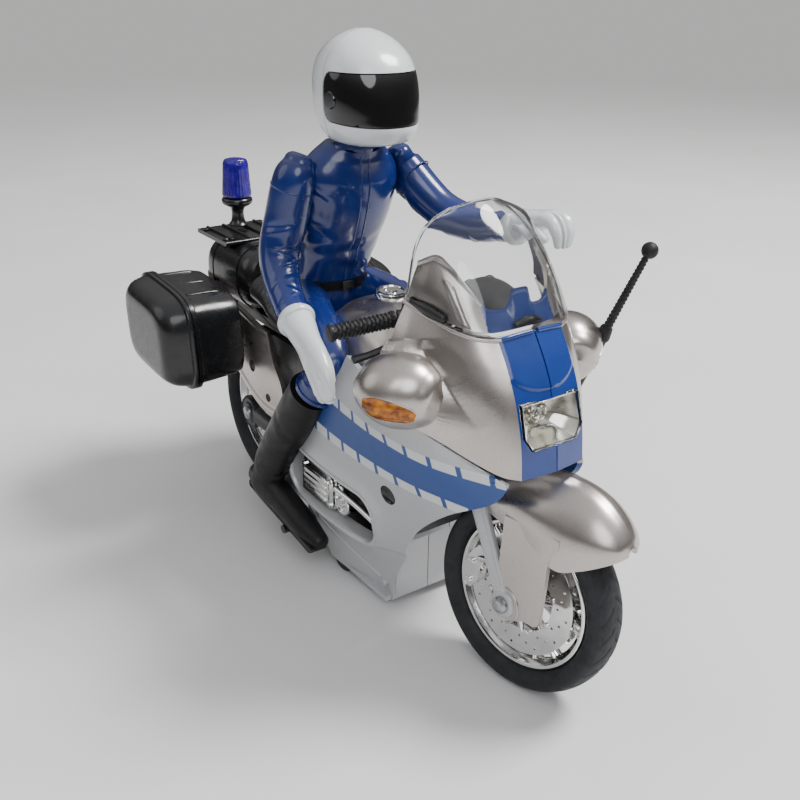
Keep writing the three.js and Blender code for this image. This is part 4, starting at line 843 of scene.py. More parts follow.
def wheel_pieces(label, centre, radius, half, fork, disc=15.4):
    bed = radius - 2.4
    node = f"{label}_rim"
    profile = [
        (radius, -half + 0.5), (radius - 0.25, -half + 0.12), (radius - 0.6, -half),
        (radius - 1.1, -half + 0.12), (radius - 1.3, -half + 0.6), (bed + 0.3, 1.5 - half),
        (bed, 2.0 - half), (bed, half - 2.0), (bed + 0.3, half - 1.5), (radius - 1.3, half - 0.6),
        (radius - 1.1, half - 0.12), (radius - 0.6, half), (radius - 0.25, half - 0.12),
        (radius, half - 0.5), (radius, -half + 0.5),
    ]
    barrel = lathe(profile, 128, centre)
    hub = lathe(
        [
            (1.3, -half + 0.1), (3.2, -half + 0.1), (3.5, 0.3 - half), (4.2, 1 - half),
            (4.2, half - 1), (3.5, half - 0.3), (3.2, half - 0.1), (1.3, half - 0.1),
            (1.3, -half + 0.1),
        ],
        64, centre,
    )
    arms = []
    for k in range(6):
        # each spoke is a tapered bar that forks into two feet at the barrel
        a = 2 * math.pi * k / 6
        out = vec(math.cos(a), 0, math.sin(a))
        tangent = vec(-math.sin(a), 0, math.cos(a))
        c = np.array(centre, float)
        for s in (-1, 1):
            arms.append(
                limb(
                    [
                        (c + out * 3.6 + tangent * s * 0.5, 2.1, 0.9),
                        (c + out * 9.0 + tangent * s * 0.8, 1.6, 0.75),
                        (c + out * (bed + 0.4) + tangent * s * 3.4, 1.9, 0.85),
                    ],
                    vec(0, 1, 0), 12, 5,
                )
            )
    piece(node, join(barrel, hub, *arms), CHROME, node=node, fork=fork, sharp=50)
    for side, tag in ((-1, "right"), (1, "left")):
        y0, y1 = sorted((centre[1] + side * 2.2, centre[1] + side * 3.0))
        plate = disc_with_holes(disc - 6, disc, y0, y1, 0.1)
        carrier = [
            sweep(
                [
                    np.array(centre) + vec(4.0 * math.cos(t), side * 2.6, 4.0 * math.sin(t)),
                    np.array(centre) + vec(
                        (disc - 5.6) * math.cos(t + 0.18), side * 2.6,
                        (disc - 5.6) * math.sin(t + 0.18),
                    ),
                ],
                [0.75, 0.6], 12,
            )
            for t in 2 * np.pi * np.arange(8) / 8
        ]
        bobbins = [
            rod(
                np.array(centre) + vec(
                    (disc - 5.8) * math.cos(t), side * 2.1, (disc - 5.8) * math.sin(t)
                ),
                np.array(centre) + vec(
                    (disc - 5.8) * math.cos(t), side * 3.35, (disc - 5.8) * math.sin(t)
                ),
                0.7, 16, chamfer=0.15,
            )
            for t in 2 * np.pi * (np.arange(8) + 0.4) / 8
        ]
        disc_part = (plate[0] + (centre[0], 0, centre[2]), plate[1])
        piece(
            f"{label}_disc_{tag}", join(disc_part, *carrier, *bobbins), CHROME,
            body=f"{label}_wheel", fork=fork, sharp=35,
        )


tyre_piece("front_tyre", FRONT_AXLE, 25, 5, 19.3, True)
tyre_piece("rear_tyre", REAR_AXLE, 27, 6.5, 20.3, False)
wheel_pieces("front", FRONT_AXLE, 19.1, 3.4, True)
wheel_pieces("rear", REAR_AXLE, 20.1, 4.4, False)


AXLE = 1.2


def axle(name, centre, reach, head, fork):
    profile = [
        (0, -reach + 0.1), (head * 0.5, -reach + 0.12), (head * 0.8, -reach + 0.3),
        (head, 0.75 - reach), (head, 1.1 - reach), (AXLE, 1.1 - reach), (AXLE, reach - 1.1),
        (head, reach - 1.1), (head, reach - 0.75), (head * 0.8, reach - 0.3),
        (head * 0.5, reach - 0.12), (0, reach - 0.1),
    ]
    ring = [
        lathe(
            [
                (head * 0.62, s * (reach - 0.12)), (head * 0.95, s * (reach - 0.45)),
                (head * 1.0, s * (reach - 0.8)), (head * 0.6, s * (reach - 0.9)),
                (head * 0.62, s * (reach - 0.12)),
            ],
            40, centre,
        )
        for s in (-1, 1)
    ]
    piece(name, join(lathe(profile, 40, centre), *ring), STEEL, node=name, fork=fork, sharp=45)


axle("front_axle", FRONT_AXLE, 11.6, 2.1, True)
axle("rear_axle", REAR_AXLE, 12.4, 2.2, False)

# --------------------------------------------- fork, fender and handlebar
LEG_Y, LEG_TOP = 9.0, 36.0


def fork_leg(side):
    y = side * LEG_Y
    tag = "left" if side > 0 else "right"
    across = vec(1, 0, 0.5)

    def flat(t, angles):  # a squarer section than an ellipse
        c, s = abs(np.cos(angles)), abs(np.sin(angles))
        return 1 / np.maximum((c**4 + s**4) ** 0.25, 1e-6) * 0.96

    leg = limb(
        [(on_leg(0, y), 2.3, 1.2), (on_leg(14, y), 2.2, 1.2), (on_leg(LEG_TOP - 0.5, y), 2.5, 1.3)],
        across, 32, 10, flat,
    )
    outer = side * (LEG_Y + 1.05)
    ribs = [
        sweep(
            [on_leg(d, outer) + vec(k * 0.9, 0, k * 0.45) for d in np.linspace(4.2, 34, 8)], 0.28,
            10,
        )
        for k in (-1.15, 1.15)
    ]
    boss = lathe(
        [
            (1.3, -1.3), (2.9, -1.3), (3.3, -1.15), (3.5, -0.8), (3.5, 0.8), (3.3, 1.15),
            (2.9, 1.3), (1.3, 1.3), (1.3, -1.3),
        ],
        64, (FRONT_AXLE[0], y, FRONT_AXLE[2]),
    )
    name = f"fork_leg_{tag}"
    piece(name, join(leg, boss, *ribs), GREY_SILVER, node=name, fork=True, sharp=45)
    # brake caliper behind the leg, clear of the disc
    low, high = sorted((side * 4.2, side * 7.2))
    outline = [
        (-10.8, 8.2), (-13.6, 4.6), (-15.2, 0.8), (-14.6, -3.4), (-12.4, -4.6), (-10.6, -2.2),
        (-9.9, 1.6), (-8.2, 6.6),
    ]
    body = prism([(FRONT_AXLE[0] + a, FRONT_AXLE[2] + b + 2.0) for a, b in outline], low, high)
    bolts = [
        rod(
            (FRONT_AXLE[0] + a, side * 7.0, FRONT_AXLE[2] + b + 2.0),
            (FRONT_AXLE[0] + a, side * 7.9, FRONT_AXLE[2] + b + 2.0), 1.0, 20, chamfer=0.2,
        )
        for a, b in ((-12.6, 2.9), (-12.9, -2.4))
    ]
    hanger = rod(
        (FRONT_AXLE[0] - 11.6, side * 6.2, FRONT_AXLE[2] + 6), on_leg(9.5, side * 8.2), 1.0, 12
    )
    piece(
        f"brake_caliper_{tag}", join(body, hanger, *bolts), CHROME, body="steering", fork=True,
        sharp=35, bevel=0.4, segments=3,
    )


fork_leg(-1)
fork_leg(1)

FENDER = {
    "x": [51, 57, 63, 69, 75, 80, 84, 86.6, 87.8],
    "top": [53.8, 56.4, 58, 58.7, 58.3, 56.6, 53.8, 51, 48.9],
    "half": [8.6, 9.2, 9.6, 9.8, 9.5, 8.5, 6.7, 4.3, 1.5],
    "edge": [46, 45, 43.5, 41.5, 40, 42, 44.2, 45.8, 46.8],
}


def fender_grid(nx, ny):
    profile = [0, 0.34, 0.68, 0.92, 1, 1, 0.98]
    drop = [0, 0.05, 0.2, 0.42, 0.62, 0.82, 1]
    grid = np.zeros((nx, ny, 3))
    for i in range(nx):
        t = i / (nx - 1)
        x, top, half, edge = (spline_at(FENDER[k], t) for k in ("x", "top", "half", "edge"))
        for j in range(ny):
            s = 2 * j / (ny - 1) - 1
            w = spline_at(profile, abs(s)) * half
            grid[i, j] = (x, math.copysign(w, s), top - spline_at(drop, abs(s)) * (top - edge))
    return grid


def fender():
    cover = shell(fender_grid(72, 61), 1.1)
    parts = [cover]
    for side in (-1, 1):
        low, high = sorted((side * 8.5, side * 9.7))
        outline = [
            (59.4, 47.5), (59.4, 28), (59.8, 24.2), (61.2, 21.9), (63.4, 21.3), (66, 22.2),
            (68.4, 23.4), (71.4, 23.5), (72.4, 24.1), (72.8, 25.4), (72.9, 40), (73.4, 43.2),
            (75, 45.2), (75, 47.5),
        ]
        parts.append(prism(outline, low, high))
        rim = [
            (62.0 + 4.6 * math.cos(a), side * 9.75, 25.0 + 4.6 * math.sin(a))
            for a in np.linspace(-1.2, 1.5, 20)
        ]
        parts.append(sweep(rim, 0.28, 10))
    piece("front_fender", join(*parts), SILVER, node="front_fender", fork=True, sharp=45, bevel=0.0)


fender()


def yoke():
    bridge = limb(
        [
            (on_axis(LEG_TOP + 1.6, -10.6), 3.6, 1.5), (on_axis(LEG_TOP + 1.6, 0), 3.9, 1.6),
            (on_axis(LEG_TOP + 1.6, 10.6), 3.6, 1.5),
        ],
        vec(1, 0, 0.5), 24, 8, round_ends=0.3,
    )
    stem = rod(on_axis(LEG_TOP + 1), on_axis(66.4), 2, 32, chamfer=0.3)
    nuts = [
        rod(on_axis(LEG_TOP + 2.6, y), on_axis(LEG_TOP + 3.8, y), 1.6, 6, chamfer=0.2)
        for y in (-9, 9)
    ]
    piece("fork_yoke", join(bridge, stem, *nuts), BLACK_SATIN, node="fork_yoke", fork=True)


yoke()

BAR = {"inner": (23, 13, 85.4), "outer": (17.6, 28.4, 82.8), "radius": 1.25, "grip": 2.1}


def sided(p, side):
    return vec(p[0], p[1] * side, p[2])


def handlebar():
    parts = [
        rod(on_axis(66.8), on_axis(71.4), 3.4, 40, chamfer=0.5),
        rod(on_axis(71.2), on_axis(72.0), 1.5, 6, chamfer=0.2),
    ]
    for side in (-1, 1):
        parts.append(
            limb(
                [
                    (vec(29, -0.6 * side, 86.2), 1.6, 1.6), (vec(28, 6 * side, 87.2), 1.6, 1.6),
                    (sided(BAR["inner"], side), 1.25, 1.25),
                    (sided(BAR["outer"], side), 1.25, 1.25),
                ],
                vec(1, 0, 0), 24, 10,
            )
        )
        # clamp, master cylinder with its cap, and the lever under the grip
        parts.append(
            limb(
                [
                    (vec(27, 7.6 * side, 86.6), 3, 2.6), (vec(25.8, 9.7 * side, 86.4), 3.1, 2.7),
                    (vec(24.6, 11.8 * side, 86.2), 2.9, 2.5),
                ],
                vec(1, 0, 0), 24, 6, round_ends=0.35,
            )
        )
        cap = prism(
            rounded(22.6, 28.4, 7.4 * side if side > 0 else -12.0, 12.0 if side > 0 else -7.4, 1.0),
            88.0, 89.2, axis="z",
        )
        parts.append(cap)
        for sx in (23.8, 27.2):
            parts.append(rod((sx, 9.7 * side, 89.1), (sx, 9.7 * side, 89.5), 0.45, 12, chamfer=0.1))
        parts.append(
            rod((24.4, 11.6 * side, 85.9), sided((23.2, 13.2, 85.5), side), 2.0, 32, chamfer=0.2)
        )
        lever = limb(
            [
                (vec(27.6, 9.4 * side, 85), 1.5, 1.1), (vec(27.6, 14 * side, 82.8), 1.3, 0.8),
                (vec(26.4, 18.6 * side, 80.4), 1.15, 0.7),
                (vec(25.0, 22.6 * side, 78.8), 1.15, 0.7),
                (vec(23.4, 26.6 * side, 77.6), 1.35, 0.85),
            ],
            vec(1, 0, 0), 20, 10, round_ends=0.6,
        )
        parts.append(lever)
        parts.append(rod((27.4, 9.6 * side, 83.4), (27.4, 9.6 * side, 86.8), 0.8, 16, chamfer=0.15))
    piece("handlebar", join(*parts), BLACK_SATIN, node="handlebar", fork=True, sharp=40)


handlebar()


def grip(side):
    """Moulded grip: a spiral of small blocks between two end flanges."""
    inner, outer = sided(BAR["inner"], side), sided(BAR["outer"], side)
    along = unit(outer - inner)
    start, end = inner + along * 0.6, outer + along * 1.2
    length = np.linalg.norm(end - start)
    wide = unit(np.cross(along, vec(0, 0, 1)))
    deep = np.cross(along, wide)
    n, sides = 150, 48
    angles = 2 * np.pi * np.arange(sides) / sides
    rings = []
    for i in range(n):
        s = i / (n - 1)
        d = s * length
        flange = max(0.0, 1 - abs(d - 0.5) / 0.5) + max(0.0, 1 - abs(d - length + 0.6) / 0.6)
        turn = d / 1.05
        ridge = np.clip(2.2 * np.cos(2 * np.pi * turn) , -1, 1) * 0.5 + 0.5
        blocks = np.clip(2.5 * np.cos(10 * angles + 3.1 * turn), -1, 1) * 0.5 + 0.5
        radius = 1.62 + 0.42 * ridge * (0.45 + 0.55 * blocks)
        if flange > 0:
            radius = np.full(sides, 2.1 - 0.12 * (1 - min(flange * 2, 1)))
        if i in (0, n - 1):
            radius = np.full(sides, 1.5)
        rings.append(
            start + along * d + np.outer(np.cos(angles) * radius, wide) + np.outer(
                np.sin(angles) * radius, deep
            )
        )
    name = "grip_left" if side > 0 else "grip_right"
    piece(name, loft(rings), RUBBER, node=name, fork=True, sharp=60)


grip(-1)
grip(1)


# --------------------------------------------- engine, swingarm and silencer
def swingarm():
    parts = []
    for side in (-1, 1):
        y = side * 9.9
        parts.append(
            limb(
                [
                    (vec(-27, y, 26), 3.2, 1.4), (vec(-46, y, 26.8), 3, 1.4),
                    (vec(REAR_AXLE[0] - 1, y, REAR_AXLE[2]), 3.6, 1.4),
                ],
                vec(0, 0, 1), 24, 10, round_ends=0.4,
            )
        )
        parts.append(
            lathe(
                [
                    (1.3, -1.45), (3.0, -1.45), (3.4, -1.0), (3.4, 1.0), (3.0, 1.45), (1.3, 1.45),
                    (1.3, -1.45),
                ],
                40, (REAR_AXLE[0], y, REAR_AXLE[2]),
            )
        )
    parts.append(prism(rounded(-34.4, -31.6, 23.5, 29.5, 1), -10, 10))
    housing = [
        (0, -1.2), (3.4, -1.2), (3.6, -0.9), (4.7, -0.9), (5.0, -1.2), (5.6, -0.6), (5.6, 0.7),
        (4.6, 1.3), (0, 1.3),
    ]
    parts.append(lathe(housing, 48, (REAR_AXLE[0], -9.9, REAR_AXLE[2])))
    piece("swingarm", join(*parts), BLACK_SATIN, node="swingarm", sharp=40)


def silencer():
    body = limb(
        [
            (vec(-24, 15, 15), 2.2, 2.2), (vec(-29, 15.2, 15.7), 2.4, 2.3),
            (vec(-34, 15.4, 16.4), 4, 3.4), (vec(-48, 15.8, 18.7), 4.5, 3.7),
            (vec(-62, 16.2, 21), 4.6, 3.8), (vec(-74, 16.5, 23.2), 4.3, 3.6),
            (vec(-79.6, 16.6, 24.3), 4, 3.4),
        ],
        vec(0, 0, 1), 48, 8,
    )
    bands = [
        limb([(vec(x, y, z) , a, b), (vec(x - 0.9, y, z + 0.15), a, b)], vec(0, 0, 1), 48, 2)
        for x, y, z, a, b in ((-37, 15.5, 16.9, 4.35, 3.75), (-76, 16.5, 23.6, 4.4, 3.75))
    ]
    tip = sweep([vec(-79.4, 16.6, 24.3), vec(-80.0, 16.6, 24.4)], [2.4, 2.2], 32)
    piece("silencer", join(body, *bands, tip), CHROME, node="silencer", sharp=45)


def cylinder_head(side):
    """Rocker cover with a ribbed face, a round stub beside it and a rod to the front of the opening."""
    tag = "left" if side > 0 else "right"

    def y(a):
        return side * a

    def slab(x0, x1, a, b, z0, z1, r):
        low, high = sorted((y(a), y(b)))
        return prism(rounded(x0, x1, z0, z1, r), low, high)

    parts = [
        slab(-15.5, 0.4, 11.6, 17.2, 22.4, 32.6, 2.0),
        slab(-14.5, -0.6, 17.0, 18.2, 23.4, 31.6, 1.6),
    ]
    for k in range(4):
        z = 24.6 + k * 1.9
        parts.append(slab(-13.2, -1.8, 18.0, 18.6, z, z + 0.9, 0.4))
    for x, z in ((-14.4, 31.2), (-14.4, 23.8), (-0.9, 31.2), (-0.9, 23.8)):
        parts.append(rod((x, y(17.0), z), (x, y(18.0), z), 0.75, 6, chamfer=0.12))
    for k in range(5):  # cooling fins behind the cover
        a = 11.8 + k * 1.0
        parts.append(slab(-16.0, 0.9, a, a + 0.45, 21.9, 33.1, 2.2))
    ring = [
        (0, 11.6), (3.6, 11.6), (3.6, 16.9), (3.3, 17.2), (2.9, 17.2), (2.7, 16.6), (1.6, 16.6),
        (1.4, 17.6), (0, 17.6),
    ]
    parts.append(lathe([(r, y(h)) for r, h in ring], 48, (4.6, 0, 27)))
    parts.append(slab(-2, 5, 11.6, 15.6, 24.6, 29.6, 1))
    parts.append(
        limb(
            [
                (vec(3, y(17.6), 31), 0.9, 1.1), (vec(11, y(17.0), 30.0), 0.85, 0.9),
                (vec(20, y(16.2), 28.4), 0.9, 1.1),
            ],
            vec(0, 0, 1), 16, 8, round_ends=0.5,
        )
    )
    parts.append(rod((4.6, y(15), 28.6), (4.6, y(17.8), 31.2), 1.6, 20, chamfer=0.3))
    name = f"cylinder_head_{tag}"
    piece(name, join(*parts), CHROME, node=name, sharp=40, bevel=0.2, segments=2)


swingarm()
silencer()
cylinder_head(-1)
cylinder_head(1)

# --------------------------------------------- lower shells
LOWER = [
    [(-6, 14.8, 3), (0, 14.6, 3), (8, 13.6, 3), (16, 12.4, 3), (22.4, 11.6, 3)],
    [(-13, 15.6, 12), (-4, 15.8, 12), (6, 15, 12), (16, 13.8, 12), (24, 12.2, 12)],
    [(-20, 16.8, 19.5), (-9, 18, 19.5), (4, 18, 19.5), (18, 16.6, 19.5), (28.6, 13, 19.5)],
    [(-25.5, 17.4, 27.5), (-12, 19.6, 27.5), (4, 19.8, 27.5), (20, 18.2, 27.5), (32, 14, 27)],
    [(-22.5, 17.6, 36.5), (-9, 19.2, 36.5), (8, 19.6, 36.5), (26, 18, 36.5), (38, 14.6, 35)],
    [(-13, 18.2, 46.5), (2, 19.6, 46.5), (18, 19.8, 46.5), (34, 18.4, 46), (49, 14.8, 44.6)],
    [(-3, 18.8, 56.5), (12, 20.4, 56.5), (27, 21, 56.5), (44, 19.2, 54.6), (61.6, 12.6, 53)],
    [(6, 19, 66), (19, 21.4, 65.6), (32, 22.8, 64.6), (48, 19.8, 62), (65, 11.8, 58.6)],
    [(10, 18.4, 73), (20, 21.2, 73), (33, 23.6, 71.6), (47, 21, 66.8), (62, 12.8, 60.2)],
]
OPENING = {"x0": -20.5, "x1": 22.5, "z0": 21.2, "z1": 36.6, "r": 6.4}
VENT = (28.6, 41.4, 2.7)
LEDGE_Z = 19.6  # the side swells out above this line and the belly box stands below it


def opening_outline(margin=0.0, steps=10):
    o = OPENING
    return rounded(
        o["x0"] - margin, o["x1"] + margin, o["z0"] - margin, o["z1"] + margin, o["r"] + margin,
        steps,
    )


def tree_of(grid):
    verts = [Vector(p) for p in grid.reshape(-1, 3)]
    return BVHTree.FromPolygons(verts, grid_faces(grid.shape[0], grid.shape[1]))


def surface(tree, x, z, reach=60.0):
    """The left outer face at (x, z): its place and its outward normal."""
    hit, normal, _, _ = tree.ray_cast(Vector((x, reach, z)), Vector((0, -1, 0)))
    if hit is None:
        hit, normal, _, _ = tree.find_nearest(Vector((x, 17, z)))
    normal = np.array(normal[:])
    return np.array(hit[:]), normal if normal[1] > 0 else -normal


def lower_grid():
    grid = smooth_grid(LOWER, 96, 84)
    normals = grid_normals(grid)
    x, z = grid[:, :, 0], grid[:, :, 2]
    o = OPENING
    # distance outside the opening's round rectangle
    dx = np.maximum(np.maximum(o["x0"] + o["r"] - x, x - o["x1"] + o["r"]), 0)
    dz = np.maximum(np.maximum(o["z0"] + o["r"] - z, z - o["z1"] + o["r"]), 0)
    d = np.hypot(dx, dz) - o["r"]
    lip = 0.75 * np.exp(-((np.maximum(d, 0) / 2.6) ** 2))
    # a soft step along the ledge above the belly box
    step = 0.95 / (1 + np.exp(-(z - LEDGE_Z - 0.08 * x) / 0.3)) - 0.95
    return grid + normals * (lip + step)[:, :, None], grid


LOWER_GRID, LOWER_SMOOTH = lower_grid()
LOWER_TREE = tree_of(LOWER_GRID)


def lower_shell(side):
    tag = "left" if side > 0 else "right"
    skin = shell(LOWER_GRID, 1.4, base_grid=LOWER_SMOOTH)
    hole = prism(opening_outline(0.0, 12), 11, 28)
    vent = prism(
        [
            (VENT[0] + VENT[2] * math.cos(a), VENT[1] + VENT[2] * math.sin(a))
            for a in 2 * np.pi * np.arange(40) / 40
        ],
        11, 28,
    )
    skin = carve(skin, hole, vent)
    front = prism(rounded(20.9, 22.4, 3.1, 26, 0.4, 3), 0.12, 11.6)
    floor = block(-6, 21.6, 0.12, 13.6, 3.1, 4.5)
    crown = prism([(20.9, 24.4), (22.2, 24.4), (31.2, 27.2), (31.2, 28.6), (20.9, 25.8)], 0.12, 13.2)
    slots = [
        block(-8.2, 4.2, 9, 13.3, -1, 11), block(-4, 0, -1, 13.9, -1, 9),
        block(-9.3, 16.9, -1, 8.9, 2, 33),
    ]
    floor = carve(floor, *slots)
    # the deep return wall inside the opening
    path = []
    outline = opening_outline(0.0, 12)
    for k in range(len(outline)):
        a, b = np.array(outline[k]), np.array(outline[(k + 1) % len(outline)])
        steps = max(int(np.linalg.norm(b - a) / 1.2), 1)
        path += [a + (b - a) * s / steps for s in range(steps)]
    path = np.array(path)
    n = len(path)
    tangent = np.roll(path, -1, axis=0) - np.roll(path, 1, axis=0)
    outward = np.stack([tangent[:, 1], -tangent[:, 0]], axis=1)
    outward /= np.linalg.norm(outward, axis=1, keepdims=True)
    rings = []
    for k in range(n):
        hit, _ = surface(LOWER_TREE, path[k][0] + outward[k][0] * 0.3, path[k][1] + outward[k][1] * 0.3)
        y = hit[1]
        ring = []
        for off, depth in (
            (0.9, -0.5), (0.75, 0.16), (0.35, 0.34), (-0.15, 0.22), (-0.5, -0.25), (-0.6, -0.9),
            (-0.6, -4.6), (0.4, -4.6), (0.6, -1.3),
        ):
            p = path[k] + outward[k] * off
            ring.append((p[0], y + depth, p[1]))
        rings.append(ring)
    rings = np.array(rings)
    wall = (rings.reshape(-1, 3), grid_faces(n, rings.shape[1], True, True))
    # raised line along the belly box, ending at a small screw head
    line = []
    for t in np.linspace(0, 1, 24):
        hit, normal = surface(LOWER_TREE, -9.5 + 26.5 * t, 15.4 - 7.4 * t)
        line.append(hit + normal * 0.02)
    rib = sweep(line, 0.5, 12)
    hit, normal = surface(LOWER_TREE, 18.4, 6.6)
    screw = rod(hit - normal * 0.3, hit + normal * 0.7, 1.0, 24, chamfer=0.3)
    part = join(skin, front, floor, crown, wall, rib, screw)
    part = on_side(part, side)
    name = f"lower_shell_{tag}"
    piece(name, part, BANDED, node=name, sharp=38, bevel=0.0)
    hit, normal = surface(LOWER_TREE, VENT[0], VENT[1])
    ring = [
        (0, -1.0), (1.4, -1.0), (2.2, -0.7), (2.62, -0.25), (2.72, -0.1), (2.78, -0.9), (2.6, -2.2),
        (0, -2.2),
    ]
    verts, faces = lathe(ring, 48)
    tilt = np.array(Vector((0, 1, 0)).rotation_difference(Vector(normal)).to_matrix())
    plug = (verts @ tilt.T + hit, faces)
    piece(f"vent_plug_{tag}", on_side(plug, side), BLACK_GLOSS, body="chassis", sharp=45)
    # black sheet behind the engine opening: painted shade for the hollow inside the shell
    shade_sheet = prism(rounded(-19.6, 21.6, 22.2, 35.4, 5.0), 9.2, 11.5)
    piece(
        f"engine_bay_{tag}", on_side(shade_sheet, side), PAINTED_SHADE_BLACK, body="chassis", sharp=40, bevel=0.3
    )


lower_shell(1)
lower_shell(-1)

# --------------------------------------------- upper fairing with its mirror pods
UPPER = [
    [
        (68.4, 0.15, 60.8), (67, 9.2, 60.4), (63.6, 12.2, 60.8), (58.4, 16, 63.2), (52, 20.6, 67),
        (44.6, 24.2, 70.6), (36, 25.4, 73.4),
    ],
    [
        (67.3, 0.15, 68.6), (66, 9.2, 68.2), (62.4, 12.8, 68.6), (57, 17, 70.2), (50.6, 21.4, 73),
        (43.6, 24.6, 76), (35.6, 25.4, 78.4),
    ],
    [
        (65, 0.15, 77), (63.7, 9.2, 76.6), (60.2, 13.2, 77), (55, 17.4, 78.2), (48.6, 21.4, 80.2),
        (42, 24, 82.2), (35.2, 24.8, 83.8),
    ],
    [
        (61.6, 0.15, 84.2), (60.3, 9.2, 83.8), (57.4, 13, 84.2), (52.8, 16.6, 85.2),
        (46.8, 20, 86.8), (40.8, 22.2, 88.6), (35, 22.8, 89.8),
    ],
    [
        (57.4, 0.15, 90.6), (56.4, 9.2, 89.8), (54, 13, 90.2), (49.8, 16, 91.2), (44.4, 18, 92.8),
        (39.4, 19.4, 94.2), (35, 20, 95.4),
    ],
]
POD = [
    (51.2, 19.8, 75.2, 2.2, 2.6), (49.8, 20.8, 75.5, 5.2, 5.8), (47.8, 22.2, 76.2, 7.4, 7.8),
    (45, 23.8, 77, 9.2, 9), (42, 25, 77.4, 10.6, 8.8), (38.6, 25.4, 77.2, 9.6, 7.8),
    (36.2, 25.4, 77, 8, 6.6),
]
# x and z of the side crease
FOLD = [(44.8, 89.0), (45.7, 85.8), (49.3, 82.8), (52.3, 79.2), (55.7, 75.1), (58.9, 71.4)]
HEADLIGHT = {"z0": 66.8, "z1": 77.2, "half": 8.5, "low": 6.4}


def fold_depth(x, z):
    """How far the side is pressed in: it sinks towards the crease from ahead and swells out behind it."""
    line = np.array([spline_at(FOLD, t) for t in np.linspace(0, 1, 60)])
    d2 = (x[..., None] - line[:, 0]) ** 2 + (z[..., None] - line[:, 1]) ** 2
    k = d2.argmin(axis=-1)
    tangent = np.gradient(line, axis=0)[k]
    side = (x - line[k][..., 0]) * -tangent[..., 1] + (z - line[k][..., 1]) * tangent[..., 0]
    side = side / np.maximum(np.linalg.norm(tangent, axis=-1), 1e-9)  # positive ahead of the line
    t = k / 59.0
    ends = np.clip(t / 0.14, 0, 1) * np.clip((1 - t) / 0.45, 0, 1)
    ahead = np.clip(1 - side / 5.0, 0, 1) ** 1.3
    behind = np.maximum(1 + 0.62 * side, -2.4)
    return np.where(side > 0, ahead, behind) * ends


def headlight_outline(margin):
    h = HEADLIGHT
    low, half, z0, z1 = h["low"], h["half"], h["z0"], h["z1"]
    return [
        (-low - margin, z0 - margin), (low + margin, z0 - margin), (half + margin, z0 + 3.2),
        (half + margin, z1 + margin), (-half - margin, z1 + margin), (-half - margin, z0 + 3.2),
    ]


def nose_x(z):
    column = [row[0] for row in UPPER]
    return float(np.interp(z, [p[2] for p in column], [p[0] for p in column]))


def upper_fairing():
    grid = smooth_grid(UPPER, 90, 97, crease=1)
    normals = -grid_normals(grid)  # outward
    x, y, z = grid[:, :, 0], grid[:, :, 1], grid[:, :, 2]
    press = fold_depth(x, z) * 0.85 * np.clip((y - 12.0) / 3.0, 0, 1)
    # the hood panel above the headlight stands proud, with a curved lower edge
    edge = HEADLIGHT["z1"] + 2.0 + 3.2 * (np.abs(y) / 9.2) ** 3
    hood = 0.4 * np.clip((z - edge) / 0.35, 0, 1) * (y <= 9.25) * np.clip((9.0 - y) / 0.5, 0, 1)
    smooth = grid
    grid = grid + normals * (hood - press)[:, :, None]
    cover = shell(grid, 1.4, flip=True, base_grid=smooth)
    pod = pod_solid(0)
    hollow = limb(
        [
            (vec(46.4, 25, 76.4), 4.4, 3.8), (vec(42, 26, 77), 7.4, 5.4),
            (vec(35.6, 26.3, 77), 6.7, 5.1),
        ],
        vec(0, 1, 0), 32, 6,
    )
    body = carve(cover, pod, operation="UNION")
    lamp = prism(headlight_outline(0.15), 55, 75, axis="x")
    socket = carve(leaf(0.12), pod_solid(-1.5))
    body = carve(body, hollow, lamp, block(20, 36.8, -1, 40, 55, 99), socket)
    rim = carve(carve(pod_solid(0.16), leaf(0.42), operation="INTERSECT"), leaf(0.1, 6.0))
    # a rounded bead closes the joint under the windscreen
    bead = sweep([p + vec(0, 0, 0.1) for p in grid[-1, 1:-4:2]], 0.55, 12)
    body = join(body, rim, bead)
    for side in (1, -1):
        tag = "left" if side > 0 else "right"
        part = on_side(body, side)
        piece(
            f"upper_fairing_{tag}", part, [SILVER, STRIPE_BLUE], node=f"upper_fairing_{tag}",
            sharp=32, paint=lambda c, n: 1 if abs(c[1]) < 9.21 and c[0] > 50 else 0,
        )


def pod_solid(grow):
    return limb(
        [(vec(px, py, pz), w * 0.965 + grow, h * 0.965 + grow) for px, py, pz, w, h in POD],
        vec(0, 1, 0), 72, 8,
    )


def leaf(grow, depth=4.0):
    """The leaf-shaped outline of a turn indicator, as a cutter through the skin of its pod."""
    stations = [
        (vec(42.6, 35.2, 76.7), 0.9), (vec(44.8, 34.4, 76.3), 2.3), (vec(46.9, 32.1, 76), 2.6),
        (vec(49.2, 29.6, 75.3), 2.2), (vec(50.6, 28, 74.8), 1.7), (vec(51.4, 27.1, 74.5), 0.8),
    ]
    return limb([(c, depth, b + grow) for c, b in stations], vec(0.4, 0.9, 0), 40, 10)


upper_fairing()


def indicators():
    body = carve(carve(pod_solid(0.05), leaf(0.0), operation="INTERSECT"), pod_solid(-1.4))
    for side in (1, -1):
        tag = "left" if side > 0 else "right"
        piece(f"indicator_{tag}", on_side(body, side), AMBER, node=f"indicator_{tag}", sharp=60)


indicators()


